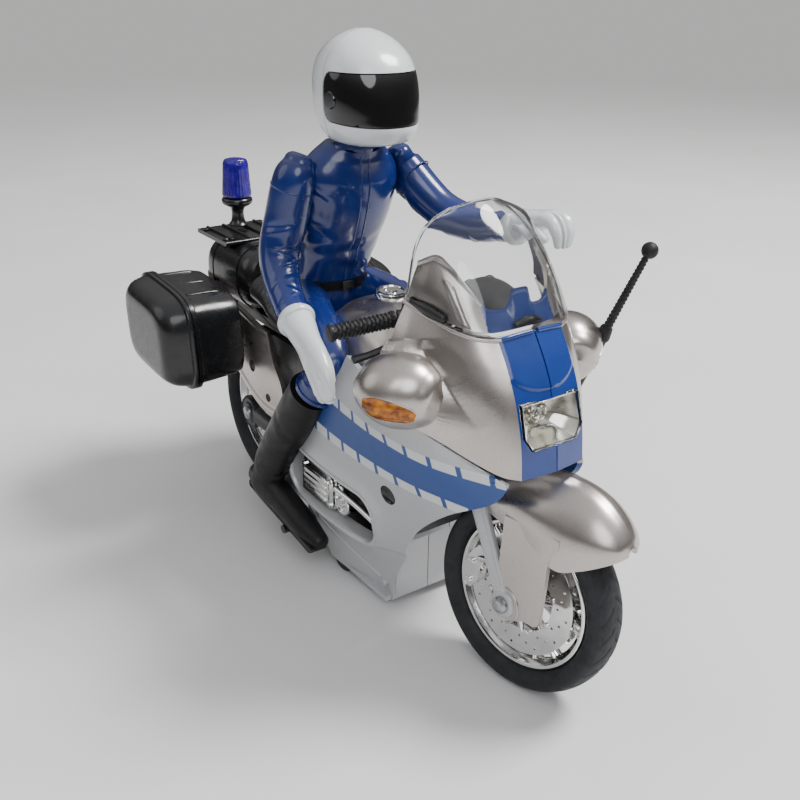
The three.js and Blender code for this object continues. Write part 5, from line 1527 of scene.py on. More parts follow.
def headlight():
    """Clear lens over a plated bowl with a bulb in a round socket."""
    z0, z1 = HEADLIGHT["z0"], HEADLIGHT["z1"]
    zs = np.linspace(z0 - 0.2, z1 + 0.2, 14)
    face = [(nose_x(z) - 0.15, z) for z in zs] + [(nose_x(z) - 1.5, z) for z in zs[::-1]]
    lens = prism(face, -8.7, 8.7)
    lens = carve(lens, prism(headlight_outline(0.0), 50, 80, axis="x"), operation="INTERSECT")
    piece("headlight_lens", lens, LENS, node="headlight_lens", sharp=30, bevel=0.25)
    rings = []
    for depth, shrink in ((1.9, 1.0), (3.2, 0.95), (4.8, 0.84), (6.2, 0.66), (7.2, 0.42), (7.6, 0.22)):
        ring = []
        outline = headlight_outline(-0.2)
        for k in range(len(outline)):
            a, b = np.array(outline[k]), np.array(outline[(k + 1) % len(outline)])
            for s in np.linspace(0, 1, 12, endpoint=False):
                y, z = a + (b - a) * s
                mid = (z0 + z1) / 2
                yy, zz = y * shrink, mid + (z - mid) * shrink
                r = max(np.hypot(yy, zz - mid), 1e-6)
                soften = (1 - shrink) * 0.8
                target = 8.0 * shrink
                k2 = (1 - soften) + soften * target / r * 0.72
                ring.append(
                    (
                        nose_x(mid) - depth - 0.34 * (zz - mid) * (1 if shrink > 0.9 else shrink),
                        yy * k2, mid + (zz - mid) * k2,
                    )
                )
        rings.append(ring)
    rings = np.array(rings)
    inside = rings.reshape(-1, 3)
    outside = (rings + (-0.8, 0, 0)).reshape(-1, 3)
    n, m = rings.shape[:2]
    faces = grid_faces(n, m, wrap_columns=True) + [
        f[::-1] for f in grid_faces(n, m, wrap_columns=True, base=n * m)
    ]
    faces += [(j, (j + 1) % m, n * m + (j + 1) % m, n * m + j) for j in range(m)]
    faces += [
        tuple((n - 1) * m + j for j in range(m)),
        tuple(n * m + (n - 1) * m + j for j in range(m))[::-1],
    ]
    bowl = (np.concatenate([inside, outside]), faces)
    mid = (z0 + z1) / 2
    x = nose_x(mid)
    socket = lathe(
        [
            (1.5, -7.4), (2.5, -7.4), (2.7, -6.6), (2.6, -5.9), (2.3, -5.7), (2.0, -5.9),
            (1.9, -6.8), (1.5, -7.4),
        ],
        40, (x, 0, mid), axis="x",
    )
    bulb = lathe(
        [(0, -7.2), (1.1, -7.2), (1.2, -6.4), (1.15, -5.4), (0.8, -4.8), (0, -4.6)], 32,
        (x, 0, mid), axis="x",
    )
    piece("headlight_bowl", join(bowl, socket), REFLECTOR, body="chassis", sharp=50)
    piece("headlight_bulb", bulb, LENS, body="chassis", sharp=50)


headlight()

# --------------------------------------------- windscreen, dash cowl, tank, seat and tail
SCREEN = [
    [
        (57.6, 0, 91.6), (56.6, 9, 90.9), (54.2, 13.4, 91.3), (49.8, 16.4, 92.3),
        (44.4, 18.4, 93.7), (39.6, 19.4, 95.2), (36.6, 19.6, 96.2),
    ],
    [
        (54.1, 0, 98.4), (52.9, 7.9, 98.2), (50.7, 12.2, 98.4), (47.1, 15.3, 99),
        (42.9, 17.4, 99.8), (39.1, 18.5, 100.6), (36.5, 18.8, 101.2),
    ],
    [
        (49.3, 0, 105.2), (48.3, 6.6, 105), (46.5, 10.4, 105), (43.9, 13.4, 105.2),
        (41.1, 15.6, 105.6), (38.3, 17.2, 106), (36.3, 17.7, 106.4),
    ],
    [
        (44.8, 0, 110.6), (44.1, 5.1, 110.4), (42.8, 8.4, 110.3), (41, 11, 110.2),
        (39.2, 13.1, 110.2), (37.4, 14.6, 110.3), (36, 15.4, 110.4),
    ],
    [
        (41, 0, 114.2), (40.6, 3.5, 114), (39.8, 6, 113.8), (38.8, 8, 113.5), (37.8, 9.7, 113.2),
        (36.6, 11.2, 112.9), (35.6, 12.1, 112.6),
    ],
    [
        (38.3, 0, 116.2), (38.1, 1.6, 116.1), (37.8, 3.1, 115.9), (37.4, 4.4, 115.6),
        (36.9, 5.7, 115.2), (36.2, 6.8, 114.8), (35.5, 7.7, 114.4),
    ],
]
COWL = [
    [
        (55.4, 0, 91.4), (53.8, 9, 91), (51, 13.4, 91.6), (46.4, 16.4, 92.8), (41, 18.4, 94.2),
        (36.6, 19.4, 95.4),
    ],
    [
        (54, 0, 93.2), (52.4, 8.4, 93.2), (49.8, 12.4, 95.6), (45.8, 15.4, 98), (41.4, 17.2, 99.6),
        (37, 18.4, 99.4),
    ],
    [
        (51.8, 0, 95.2), (51.2, 7.8, 95.3), (48.2, 11.2, 99.8), (44.2, 12.9, 103.9),
        (41, 14.6, 106), (37.4, 16.9, 104.2),
    ],
]
TANK = [
    [(-18, 0, 74), (-18, 6, 73), (-18, 10, 69), (-18, 12, 63)],
    [(-8, 0, 80.4), (-8, 7, 79.2), (-8, 12, 74), (-8, 14, 63)],
    [(4, 0, 83.8), (4, 7.6, 82.4), (4, 12.6, 76.6), (4, 15, 63)],
    [(14, 0, 82.6), (14, 7.2, 81.2), (14, 12, 75.6), (14, 14.6, 63)],
    [(23, 0, 77.6), (23, 6, 76.6), (23, 10, 72.6), (23, 12.6, 63)],
]
SEAT = [
    (vec(-19.6, 0, 67.4), 11, 5.2), (vec(-30, 0, 65), 12.6, 3.8), (vec(-42, 0, 66.4), 12.4, 4.6),
    (vec(-48, 0, 69.4), 12, 6.2), (vec(-56, 0, 70.4), 11.6, 6),
]
TAIL = [
    [(-41.6, 13.6, 61.6), (-38.4, 13.8, 53.6), (-33, 14, 45.6), (-33.6, 14.4, 35.6)],
    [(-46, 14.6, 63), (-45, 15, 54), (-43.4, 15.2, 45.6), (-44, 15.2, 36.4)],
    [(-54, 15, 64.8), (-54.4, 15.4, 57), (-54.6, 15.4, 49), (-56, 15, 41)],
    [(-64, 14.6, 66), (-66, 14.8, 60), (-67, 14.6, 54), (-68, 14, 48)],
    [(-80, 13.6, 68), (-82, 13.6, 63), (-83, 13.2, 59), (-83, 12.6, 55)],
    [(-91, 8, 69), (-92, 8, 65), (-92, 7.8, 61.6), (-91.4, 7.4, 58.6)],
    [(-92.6, 0, 69.4), (-93.6, 0, 65.4), (-93.6, 0, 62), (-93, 0, 59.2)],
]

TAIL_HOLES = ((-41, 41, 1.3), (-50, 48.6, 1.9))  # X, Z and radius


def across_middle(rows):
    """Rows from the middle to the left edge, mirrored into whole rows."""
    return [[(x, -y, z) for x, y, z in row[:0:-1]] + list(row) for row in rows]


def windscreen():
    grid = smooth_grid(across_middle(SCREEN), 60, 97)
    edge = [grid[i, 0] for i in range(2, 60)] + [grid[-1, j] for j in range(1, 96)] + [
        grid[i, -1] for i in range(59, 1, -1)
    ]
    inward = grid[30, 48] - vec(8, 0, 0)
    lip = []
    for p in edge:
        lip.append(p + unit(inward - p) * 0.55)
    piece(
        "windscreen", shell(grid, 1, flip=True), CLEAR, node="windscreen", sharp=50, bevel=0.3,
        segments=3,
    )
    piece("windscreen_edge", sweep(lip[::2], 0.42, 10), CLEAR_EDGE, body="chassis", sharp=60)


def dash_cowl():
    grid = smooth_grid(across_middle(COWL), 34, 181)
    u = np.linspace(0, 1, 34)[:, None]
    y = grid[:, :, 1]
    wave = 3.9 / (1 + np.exp((abs(y) - 2.9) / 0.28))
    grid[:, :, 2] += u * u * wave
    normals = -grid_normals(grid)
    y = grid[:, :, 1]
    # raised border along the top edge and one long raised bar on each ear
    border = 0.35 * np.clip((u - 0.90) / 0.05, 0, 1) * np.ones_like(y)
    bar = abs(y) - 14.5 + 1.1 * (1 - u) ** 2
    ribs = 0.5 * np.clip((0.7 - abs(bar)) / 0.25, 0, 1) * np.clip(
        (u - 0.04) / 0.04, 0, 1
    ) * np.clip((0.76 - u) / 0.04, 0, 1)
    smooth = grid
    grid = grid - normals * 0.35 + normals * np.maximum(border, ribs)[:, :, None]
    piece(
        "dash_cowl", shell(grid, 0.95, flip=True, base_grid=smooth), [SILVER, STRIPE_BLUE],
        node="dash_cowl", sharp=35, paint=lambda c, n: 1 if abs(c[1]) < 9.4 else 0,
    )
    # instrument nacelle: a dark rounded block with two dials, facing the rider
    nacelle = limb(
        [
            (vec(50.5, 0, 93.2), 5.6, 1.2), (vec(46, 0, 94.2), 6.2, 2.2),
            (vec(41.5, 0, 95.2), 6.2, 2.5), (vec(38.4, 0, 95.6), 5.6, 2.3),
        ],
        vec(0, 1, 0), 48, 8, round_ends=0.25,
    )
    dials = [rod((38.4, s * 2.9, 95.7), (37.5, s * 2.9, 95.8), 2.0, 40, chamfer=0.25) for s in (-1, 1)]
    neck = rod((47, 0, 94), (47, 0, 90.5), 2.4, 20)
    piece("instrument_nacelle", join(nacelle, *dials, neck), BLACK_SATIN, body="chassis", sharp=40)
    slots = []
    for s in (-1, 1):  # a black blob beside the foot of each ear: painted shade standing for a slot
        slots.append(
            limb(
                [
                    (vec(38.0, s * 18.9, 95.3), 0.8, 1.3), (vec(42.7, s * 18.3, 94.4), 0.9, 1.5),
                    (vec(47.0, s * 17.2, 93.5), 0.7, 1.0),
                ],
                vec(0, 1, 0), 20, 8, round_ends=0.6,
            )
        )
    # and one across the middle under the screen, also a black blob of painted shade
    slots.append(
        limb(
            [
                (vec(55.0, -3.4, 92.0), 0.8, 0.6), (vec(55.3, 0, 92.6), 0.9, 1.0),
                (vec(55.0, 3.4, 92.0), 0.8, 0.6),
            ],
            vec(1, 0, 0), 20, 8, round_ends=0.6,
        )
    )
    piece("screen_slot_shades", join(*slots), BLACK_SATIN, body="chassis", sharp=50)
    for s, tag in ((-1, "right"), (1, "left")):
        face = rod((37.62, s * 2.9, 95.78), (37.4, s * 2.9, 95.8), 1.6, 40)
        piece(f"dial_{tag}", face, WHITE, body="chassis", sharp=40)


def tank_cover():
    grid = smooth_grid(across_middle(TANK), 56, 81)
    y = grid[:, :, 1]
    normals = grid_normals(grid)
    # a raised centre panel and a parting groove along each side
    panel = 0.35 * np.clip((5.0 - abs(y)) / 0.6, 0, 1)
    groove = 0.35 * np.clip(1 - abs(grid[:, :, 2] - 68) / 0.5, 0, 1)
    smooth = grid
    grid = grid - normals * 0.36 + normals * (panel - groove)[:, :, None]
    cap = lathe(
        [
            (0, -1.2), (4.2, -1.2), (4.3, 0.3), (4.0, 0.8), (3.4, 0.9), (3.2, 0.6), (1.6, 0.6),
            (1.4, 1.1), (0, 1.1),
        ],
        48, (3.0, 0, 84.2), axis="z",
    )
    piece(
        "tank_cover", shell(grid, 1.5, base_grid=smooth), SILVER, node="tank_cover", sharp=35,
        bevel=0.2,
    )
    piece("fuel_cap", turned(cap, 4, (3.0, 0, 84.2)), CHROME, body="chassis", sharp=35)


def seat():
    def shape(t, angles):
        pleat = 0.02 * np.clip(np.cos(2 * np.pi * t * 15) * 2.5, -1, 1) * (0.2 < t < 0.92)
        return 1 + pleat * (np.sin(angles) ** 2)

    body = limb(SEAT, vec(0, 1, 0), 64, 30, shape, round_ends=0.3)
    path = [vec(x, 12.0, 63.2 + max(0, (-x - 42) * 0.28)) for x in np.linspace(-22, -54, 20)]
    piping = sweep(path, 0.35, 10)
    piece("seat", join(body, piping, flipped(piping)), BLACK_SATIN, node="seat", sharp=50)


def tail_cowl():
    left = [list(row) for row in TAIL]
    right = [[(x, -y, z) for x, y, z in row] for row in left[-2::-1]]
    rows = left + right
    grid = smooth_grid(rows, 169, 49)
    normals = -grid_normals(grid)
    n, m = grid.shape[:2]
    v = np.linspace(0, 1, m)[None, :]
    x = grid[:, :, 0]
    # a light raised border along every edge with a step inside it
    top = np.clip(1 - v / 0.07, 0, 1) + np.clip(1 - (1 - v) / 0.09, 0, 1)
    border = 0.45 * np.clip(top * 3, 0, 1) * np.ones_like(x)
    ends = np.minimum(np.arange(n), n - 1 - np.arange(n))[:, None] / 168.0
    border = np.maximum(border, 0.45 * np.clip((0.016 - ends) / 0.004, 0, 1) * np.ones_like(x))
    smooth = grid
    grid = grid - normals * 0.45 + normals * border[:, :, None]
    skin = shell(grid, 1.4, flip=True, base_grid=smooth)
    tools = [rod((x0, s * 9, z0), (x0, s * 22, z0), r, 40) for x0, z0, r in TAIL_HOLES for s in (-1, 1)]
    skin = carve(skin, *tools)
    piece("tail_cowl", skin, SILVER, node="tail_cowl", sharp=35)
    # black plugs inside the tail holes: painted shade for the hollow behind them
    dark = [
        rod((x0, s * 12.6, z0), (x0, s * 14.5, z0), r + 0.02, 40, chamfer=0.3)
        for x0, z0, r in TAIL_HOLES
        for s in (-1, 1)
    ]
    piece("tail_hole_shades", join(*dark), PAINTED_SHADE_BLACK, body="chassis")
    ribs = [
        prism(rounded(-5.4, 5.4, 53.4 + 1.05 * k, 53.8 + 1.05 * k, 0.18), -92.75, -92.2, axis="x")
        for k in range(4)
    ]
    lamp = prism(rounded(-6, 6, 52.6, 57.6, 0.8), -92.4, -90, axis="x")
    piece("tail_lamp", join(lamp, *ribs), RED_LENS, node="tail_lamp", sharp=40, bevel=0.25)
    piece(
        "tail_lamp_backing", prism(rounded(-6.6, 6.6, 52.0, 58.2, 1.0), -90.2, -88.8, axis="x"),
        BLACK_SATIN, body="chassis", bevel=0.2,
    )


windscreen()
dash_cowl()
tank_cover()
seat()
tail_cowl()

# --------------------------------------------- luggage, radio box, beacon and aerial
RACK_Z = 80.6
BEACON = (-85.0, 0.0, RACK_Z + 2.6)


def radio_box():
    def boxy(t, angles):
        c, s = abs(np.cos(angles)), abs(np.sin(angles))
        return 1 / np.maximum((c**2.6 + s**2.6) ** (1 / 2.6), 1e-6)

    body = limb(
        [
            (vec(-57.4, 0, 72), 9.2, 8.2), (vec(-62, 0, 71.4), 11.2, 9.9),
            (vec(-74, 0, 70.8), 11.6, 10.4), (vec(-85, 0, 70.8), 11.2, 10.0),
            (vec(-89, 0, 71), 9.4, 8.2),
        ],
        vec(0, 1, 0), 72, 10, boxy,
    )
    seam = limb(
        [(vec(-64.6, 0, 71.2), 11.8, 10.4), (vec(-66.0, 0, 71.1), 11.85, 10.45)], vec(0, 1, 0), 72,
        2, boxy,
    )
    seam2 = limb(
        [(vec(-81.6, 0, 70.8), 11.7, 10.35), (vec(-83.0, 0, 70.8), 11.6, 10.3)], vec(0, 1, 0), 72,
        2, boxy,
    )
    piece("radio_box", join(body, seam, seam2), BLACK_GLOSS, node="radio_box", sharp=35)


def luggage_rack():
    parts = [prism(rounded(-92, -71, RACK_Z, RACK_Z + 1.4, 0.6, 4), -11.4, 11.4)]
    for y in (-8.4, -2.8, 2.8, 8.4):
        parts.append(
            limb(
                [
                    (vec(-90.6, y, RACK_Z + 1.5), 0.5, 0.6), (vec(-81, y, RACK_Z + 1.65), 0.5, 0.6),
                    (vec(-72.4, y, RACK_Z + 1.5), 0.5, 0.6),
                ],
                vec(0, 1, 0), 16, 6, round_ends=0.6,
            )
        )
    for x in (-88, -74):
        for y in (-10, 10):
            parts.append(rod((x, y, RACK_Z - 0.1), (x, y, RACK_Z + 0.4), 0.9, 20))
            parts.append(rod((x, y, RACK_Z + 1.3), (x, y, RACK_Z + 1.95), 0.95, 24, chamfer=0.25))
    piece("luggage_rack", join(*parts), BLACK_GLOSS, node="luggage_rack", sharp=40, bevel=0.2)


def beacon():
    base = lathe(
        [
            (0, 0), (3.0, 0), (3.05, 0.35), (2.6, 0.8), (2.3, 1.3), (2.05, 2.4), (1.95, 3.6),
            (2.0, 4.6), (2.2, 5.4), (2.7, 6.0), (3.9, 6.6), (4.7, 7.1), (4.95, 7.5), (5.0, 8.1),
            (4.9, 8.6), (4.6, 9.0), (4.3, 9.2), (0, 9.2),
        ],
        96, BEACON, axis="z",
    )
    bolts = [
        rod(
            (BEACON[0] + 2.45 * math.cos(a), 2.45 * math.sin(a), BEACON[2] + 0.3),
            (BEACON[0] + 2.45 * math.cos(a), 2.45 * math.sin(a), BEACON[2] + 0.75), 0.35, 12,
        )
        for a in (0.8, 2.4, 3.9, 5.5)
    ]
    piece("beacon_base", join(base, *bolts), BLACK_GLOSS, node="beacon_base", sharp=50)
    profile = [
        (0, 9.5), (4.45, 9.5), (4.6, 9.6), (4.72, 10.0), (4.74, 10.5), (4.6, 12.0), (4.35, 15.4),
        (4.18, 18.2), (4.05, 19.8), (3.85, 20.6), (3.5, 21.1), (2.6, 21.35), (1.2, 21.46),
        (0, 21.5),
    ]
    verts, faces = lathe(profile, 240, BEACON, axis="z")
    angle = np.arctan2(verts[:, 1], verts[:, 0] - BEACON[0])
    h = verts[:, 2] - BEACON[2]
    r = np.hypot(verts[:, 0] - BEACON[0], verts[:, 1])
    flute = 0.10 * (np.cos(angle * 30) * 0.5 - 0.5) * np.clip((h - 9.9) / 0.5, 0, 1) * np.clip(
        (20.3 - h) / 0.5, 0, 1
    )
    scale = (r + flute) / np.maximum(r, 1e-6)
    verts[:, 0] = BEACON[0] + (verts[:, 0] - BEACON[0]) * scale
    verts[:, 1] = verts[:, 1] * scale
    piece("beacon_lens", (verts, faces), BLUE_LENS, node="beacon_lens", sharp=60)
    core = lathe(
        [(0, 9.3), (2.4, 9.3), (2.4, 11.5), (1.1, 13), (1.1, 17.6), (0.5, 18.2), (0, 18.3)], 32,
        BEACON, axis="z",
    )
    piece("beacon_core", core, DARK_BLUE, body="chassis", sharp=40)


AERIAL = {"foot": vec(42.4, 29.4, 63.6), "tip": vec(54.8, 39, 103.6)}


def antenna():
    foot, tip = AERIAL["foot"], AERIAL["tip"]

    def at(t):
        return foot + (tip - foot) * t

    sleeve_path = [at(t) for t in (0.015, 0.02, 0.38, 0.40)]
    sleeve = sweep(sleeve_path, [1.35, 1.6, 1.6, 1.7], 32)
    collar = sweep([at(t) for t in (0.375, 0.385, 0.40, 0.44, 0.46)], [1.7, 1.95, 1.98, 1.7, 1.45], 32)
    count = 150
    ts = np.linspace(0.455, 0.945, count)
    radii = [
        1.2 - 0.3 * (t - 0.455) / 0.49 - 0.17 * (
            0.5 - 0.5 * math.cos(2 * math.pi * (t - 0.455) * 40)
        )
        for t in ts
    ]
    whip = sweep([at(t) for t in ts], radii, 28)
    ball_centre = at(0.965)
    axis = unit(tip - foot)
    angles = np.linspace(-1.35, 1.52, 20)
    ball = sweep(
        [ball_centre + axis * 2.05 * math.sin(a) for a in angles],
        [2.05 * max(math.cos(a), 0.05) for a in angles], 40,
    )
    piece("antenna", join(sleeve, collar, whip, ball), RUBBER, node="antenna", sharp=60)


PANNIER = {"x0": -85.6, "x1": -49.4, "z0": 44.6, "z1": 73.0}
CASE_RINGS = [
    (16.4, 3.4), (16.7, 2.6), (17.4, 1.7), (19.5, 1.2), (24, 0.9), (28, 0.65), (31, 0.55),
    (31.3, 0.45), (31.6, -0.1), (31.8, -0.38), (32.2, -0.4), (33.0, -0.4), (33.0, 1.2),
]
LID_RINGS = [
    (33.3, 1.2), (33.3, -0.4), (34.1, -0.4), (34.4, -0.3), (34.55, 0.1), (34.7, 0.5), (35.2, 0.62),
    (38, 1.25), (39.4, 1.9), (40.6, 2.9), (41.4, 4.0), (41.8, 5.0), (42.0, 6.2),
]


def pannier_ring(y, inset, count=144):
    p = PANNIER
    cx, cz = (p["x0"] + p["x1"]) / 2, (p["z0"] + p["z1"]) / 2
    hx, hz = (p["x1"] - p["x0"]) / 2 - inset, (p["z1"] - p["z0"]) / 2 - inset * 0.9
    a = 2 * np.pi * (np.arange(count) + 0.5) / count
    x = hx * np.sign(np.cos(a)) * abs(np.cos(a)) ** 0.45
    z = hz * np.sign(np.sin(a)) * abs(np.sin(a)) ** 0.45
    return np.stack([cx + x - z * 0.1, np.full(count, float(y)), cz + z - x * 0.06], axis=1)


def pannier(side):
    tag = "left" if side > 0 else "right"
    case = loft([pannier_ring(y, inset) for y, inset in CASE_RINGS])
    lid_rings = [pannier_ring(y, inset) for y, inset in LID_RINGS]
    # shrinking rings fill the lid's end
    last = lid_rings[-1]
    middle = last.mean(axis=0)
    for k in (0.86, 0.7, 0.5, 0.3, 0.12):
        lid_rings.append(middle + (last - middle) * k)
    lid = loft(lid_rings)
    ribs = []
    p = PANNIER
    cx, cz = (p["x0"] + p["x1"]) / 2, (p["z0"] + p["z1"]) / 2
    for k in (-9.5, 0.0, 9.5):  # strengthening ribs across the top of the case
        x = cx + k
        top = cz + (p["z1"] - p["z0"]) / 2 - 0.9 - k * 0.06 - 0.15
        ribs.append(
            limb(
                [
                    (vec(x - 1.4, 19.6, top - 1.0), 0.8, 0.5),
                    (vec(x - 1.4, 22, top - 0.15), 0.9, 0.55),
                    (vec(x - 1.4, 30.6, top + 0.1), 0.9, 0.55),
                ],
                vec(1, 0, 0), 16, 6, round_ends=0.6,
            )
        )
    case_part = join(case, *ribs)
    lid_extra = []
    for z0 in (cz + 6.4, cz - 6.6):  # raised lines along the lid's face
        path = [
            vec(x, 41.6 - 0.35 * ((x - cx) / 12.5) ** 4, z0 - (x - cx) * 0.06)
            for x in np.linspace(cx - 12, cx + 12, 22)
        ]
        lid_extra.append(sweep(path, 0.35, 10))
    lid_part = join(lid, *lid_extra)
    piece(
        f"pannier_case_{tag}", on_side(case_part, side), BLACK_GLOSS, node=f"pannier_case_{tag}",
        sharp=30,
    )
    piece(
        f"pannier_lid_{tag}", on_side(lid_part, side), BLACK_GLOSS, node=f"pannier_lid_{tag}",
        sharp=30,
    )


radio_box()
luggage_rack()
beacon()
antenna()
pannier(1)
pannier(-1)

# --------------------------------------------- rider
ACROSS = vec(0, 1, 0)
TORSO = [
    (vec(-28.6, 0, 73.4), 10.6, 8.4), (vec(-28, 0, 78.4), 11.4, 8.8),
    (vec(-26.4, 0, 84), 10.6, 8.2), (vec(-23.6, 0, 92), 11.6, 8.6), (vec(-20.4, 0, 102), 13.8, 9.6),
    (vec(-18, 0, 110), 14.6, 9.4), (vec(-16.6, 0, 114.6), 13.6, 8.2), (vec(-15, 0, 118.4), 10, 6.6),
    (vec(-13.8, 0, 120.8), 7, 5.4),
]
LEG = {
    "trouser": [
        (vec(-25, 10.2, 75.4), 7, 7.2), (vec(-15, 13.6, 74), 6.6, 6.8),
        (vec(-4, 15.6, 70.4), 5.9, 6.4), (vec(0.4, 17, 65.4), 5.8, 6),
        (vec(-4, 18.8, 58.6), 6, 6.2),
    ],
    "boot": [
        (vec(-6.2, 19.4, 57.4), 6.1, 6.4), (vec(-13, 20.4, 47.6), 5.7, 6.4),
        (vec(-21.4, 21, 36), 4.8, 6.2), (vec(-27, 21.4, 27), 4.4, 6.4),
        (vec(-29, 21.6, 21.6), 4.2, 6.4),
    ],
    "foot": [
        (vec(-35.4, 21.8, 20), 3.2, 3.6), (vec(-30, 21.8, 19), 4.2, 5.4),
        (vec(-20, 21.6, 17.4), 4, 4.6), (vec(-9, 21, 14.4), 3.8, 3.4),
        (vec(-2, 20.4, 12.2), 2.8, 2.6),
    ],
}
ARM = {
    "right": [
        (vec(-17.2, -15.2, 116.4), 3.6, 4.6), (vec(-17.4, -16.6, 112.2), 5.3, 6),
        (vec(-19.4, -18.2, 101.6), 5.6, 6.2), (vec(-19.6, -20.4, 93.4), 5.4, 5.8),
        (vec(-15.6, -22.4, 87.4), 4.9, 5.2), (vec(-8.6, -24.4, 83), 4.4, 4.8),
        (vec(-3.6, -25.3, 80.4), 4.2, 4.4),
    ],
    "left": [
        (vec(-17, 15.2, 115.6), 3.6, 4.6), (vec(-15.6, 17, 111.4), 5.3, 5.8),
        (vec(-5.4, 21.4, 102.6), 4.9, 5.2), (vec(3.6, 25.6, 99.6), 4.6, 4.8),
        (vec(13, 28.6, 100.6), 4, 4.2), (vec(17, 29.4, 101.2), 3.8, 4),
    ],
}
GLOVE = {
    "right": [
        (vec(-3, -25.4, 80), 4.6, 4.8), (vec(0.8, -25.9, 78.4), 4, 4.2),
        (vec(5.4, -26.7, 76.4), 3.2, 4.2), (vec(10, -27.5, 73.8), 3.0, 4.8),
        (vec(13.8, -28.2, 70.8), 2.7, 4.7), (vec(15.6, -28.4, 67.4), 2.3, 4.4),
        (vec(16.0, -28.4, 65.6), 1.6, 3.7),
    ],
    "left": [
        (vec(17.4, 29.4, 101.3), 4.5, 4.6), (vec(20.8, 29.8, 102.4), 4.2, 4),
        (vec(25.6, 30.6, 104.4), 4.2, 2.6), (vec(30, 31.2, 105.2), 4.2, 2.3),
        (vec(32.4, 31.4, 102.8), 3.9, 2), (vec(32.8, 31.4, 99.4), 2.8, 1.4),
    ],
}
SHOULDER_FACE = 12.9


def creases(lines, depth):
    """Folds in cloth: lines are (t, angle, reach in t, reach in angle, lean)."""

    def shape(t, angles):
        cut = np.zeros_like(angles)
        for t0, a0, dt, da, lean in lines:
            d = np.angle(np.exp(1j * (angles - a0)))
            u = (t - t0 - lean * d) / dt
            cut += np.exp(-u * u) * np.exp(-((d / da) ** 4))
            cut -= 0.6 * np.exp(-((u - 1.9) ** 2)) * np.exp(-((d / da) ** 4))
        return 1 - depth * np.clip(cut, -0.7, 1.2)

    return shape


def torso():
    folds = creases(
        [
            (0.40, -1.9, 0.018, 0.9, 0.03), (0.31, -1.2, 0.02, 0.8, -0.05),
            (0.36, -0.3, 0.02, 0.5, 0.06), (0.47, -2.6, 0.018, 0.6, -0.06),
            (0.42, 3.0, 0.02, 0.7, 0.05), (0.33, 2.2, 0.02, 0.8, 0.0),
            (0.62, -0.5, 0.018, 0.4, 0.10), (0.62, -2.7, 0.018, 0.4, -0.10),
        ],
        0.035,
    )
    body = limb(TORSO, ACROSS, 96, 16, folds)
    body = carve(body, block(-60, 20, -SHOULDER_FACE, SHOULDER_FACE, 60, 121.0), operation="INTERSECT")
    saddle = limb([(c, a + 0.35, b + 0.35) for c, a, b in SEAT], ACROSS, 40, 8)
    body = carve(body, saddle)
    collar = lathe(
        [(4.2, 0), (7.3, 0.0), (7.0, 0.8), (6.2, 1.4), (5.4, 1.7), (4.2, 1.7), (4.2, 0)], 64,
        (-13.8, 0, 119.6), axis="z",
    )
    collar = (np.asarray(collar[0]) * (0.82, 1, 1) + (-13.8 * 0.18, 0, 0), collar[1])
    neck = rod((-13, 0, 117), (-13, 0, 126), 4.2, 40)
    # front fastening: a flap with two stitched edges, from the collar to the belt
    tree = BVHTree.FromPolygons([Vector(v) for v in body[0]], [list(f) for f in body[1]])
    lines = []
    for y in (-1.5, 0.9):
        path = []
        for z in np.linspace(117.6, 82, 40):
            hit, normal, _, _ = tree.ray_cast(Vector((30, y, z)), Vector((-1, 0, 0)))
            if hit is not None:
                path.append(np.array(hit[:]) + np.array(normal[:]) * 0.02)
        lines.append(sweep(path, 0.22, 8))
    belt_rings = []
    for h, grow in ((79.2, 0.15), (79.3, 0.45), (81.9, 0.45), (82.0, 0.15)):
        ring = []
        for a in 2 * np.pi * np.arange(72) / 72:
            origin = Vector((-27.2 + 30 * math.cos(a), 30 * math.sin(a), h))
            hit, normal, _, _ = tree.ray_cast(origin, Vector((-math.cos(a), -math.sin(a), 0)))
            hit = np.array(hit[:]) if hit is not None else np.array(
                (-27.2 + 9 * math.cos(a), 11 * math.sin(a), h)
            )
            ring.append(hit + vec(math.cos(a), math.sin(a), 0) * grow)
        belt_rings.append(ring)
    belt = loft(belt_rings)
    buckle_hit, _, _, _ = tree.ray_cast(Vector((30, 0, 80.6)), Vector((-1, 0, 0)))
    bx = buckle_hit[0] if buckle_hit is not None else -18
    piece("rider_torso", join(body, collar, neck, *lines), SUIT_BLUE, node="rider_torso", sharp=40)
    piece("rider_belt", belt, BOOT_BLACK, body="chassis", sharp=40)
    piece(
        "rider_buckle", prism(rounded(-1.9, 1.9, 79.3, 81.9, 0.5), bx + 0.2, bx + 0.95, axis="x"),
        BOOT_BLACK, body="chassis", bevel=0.2,
    )


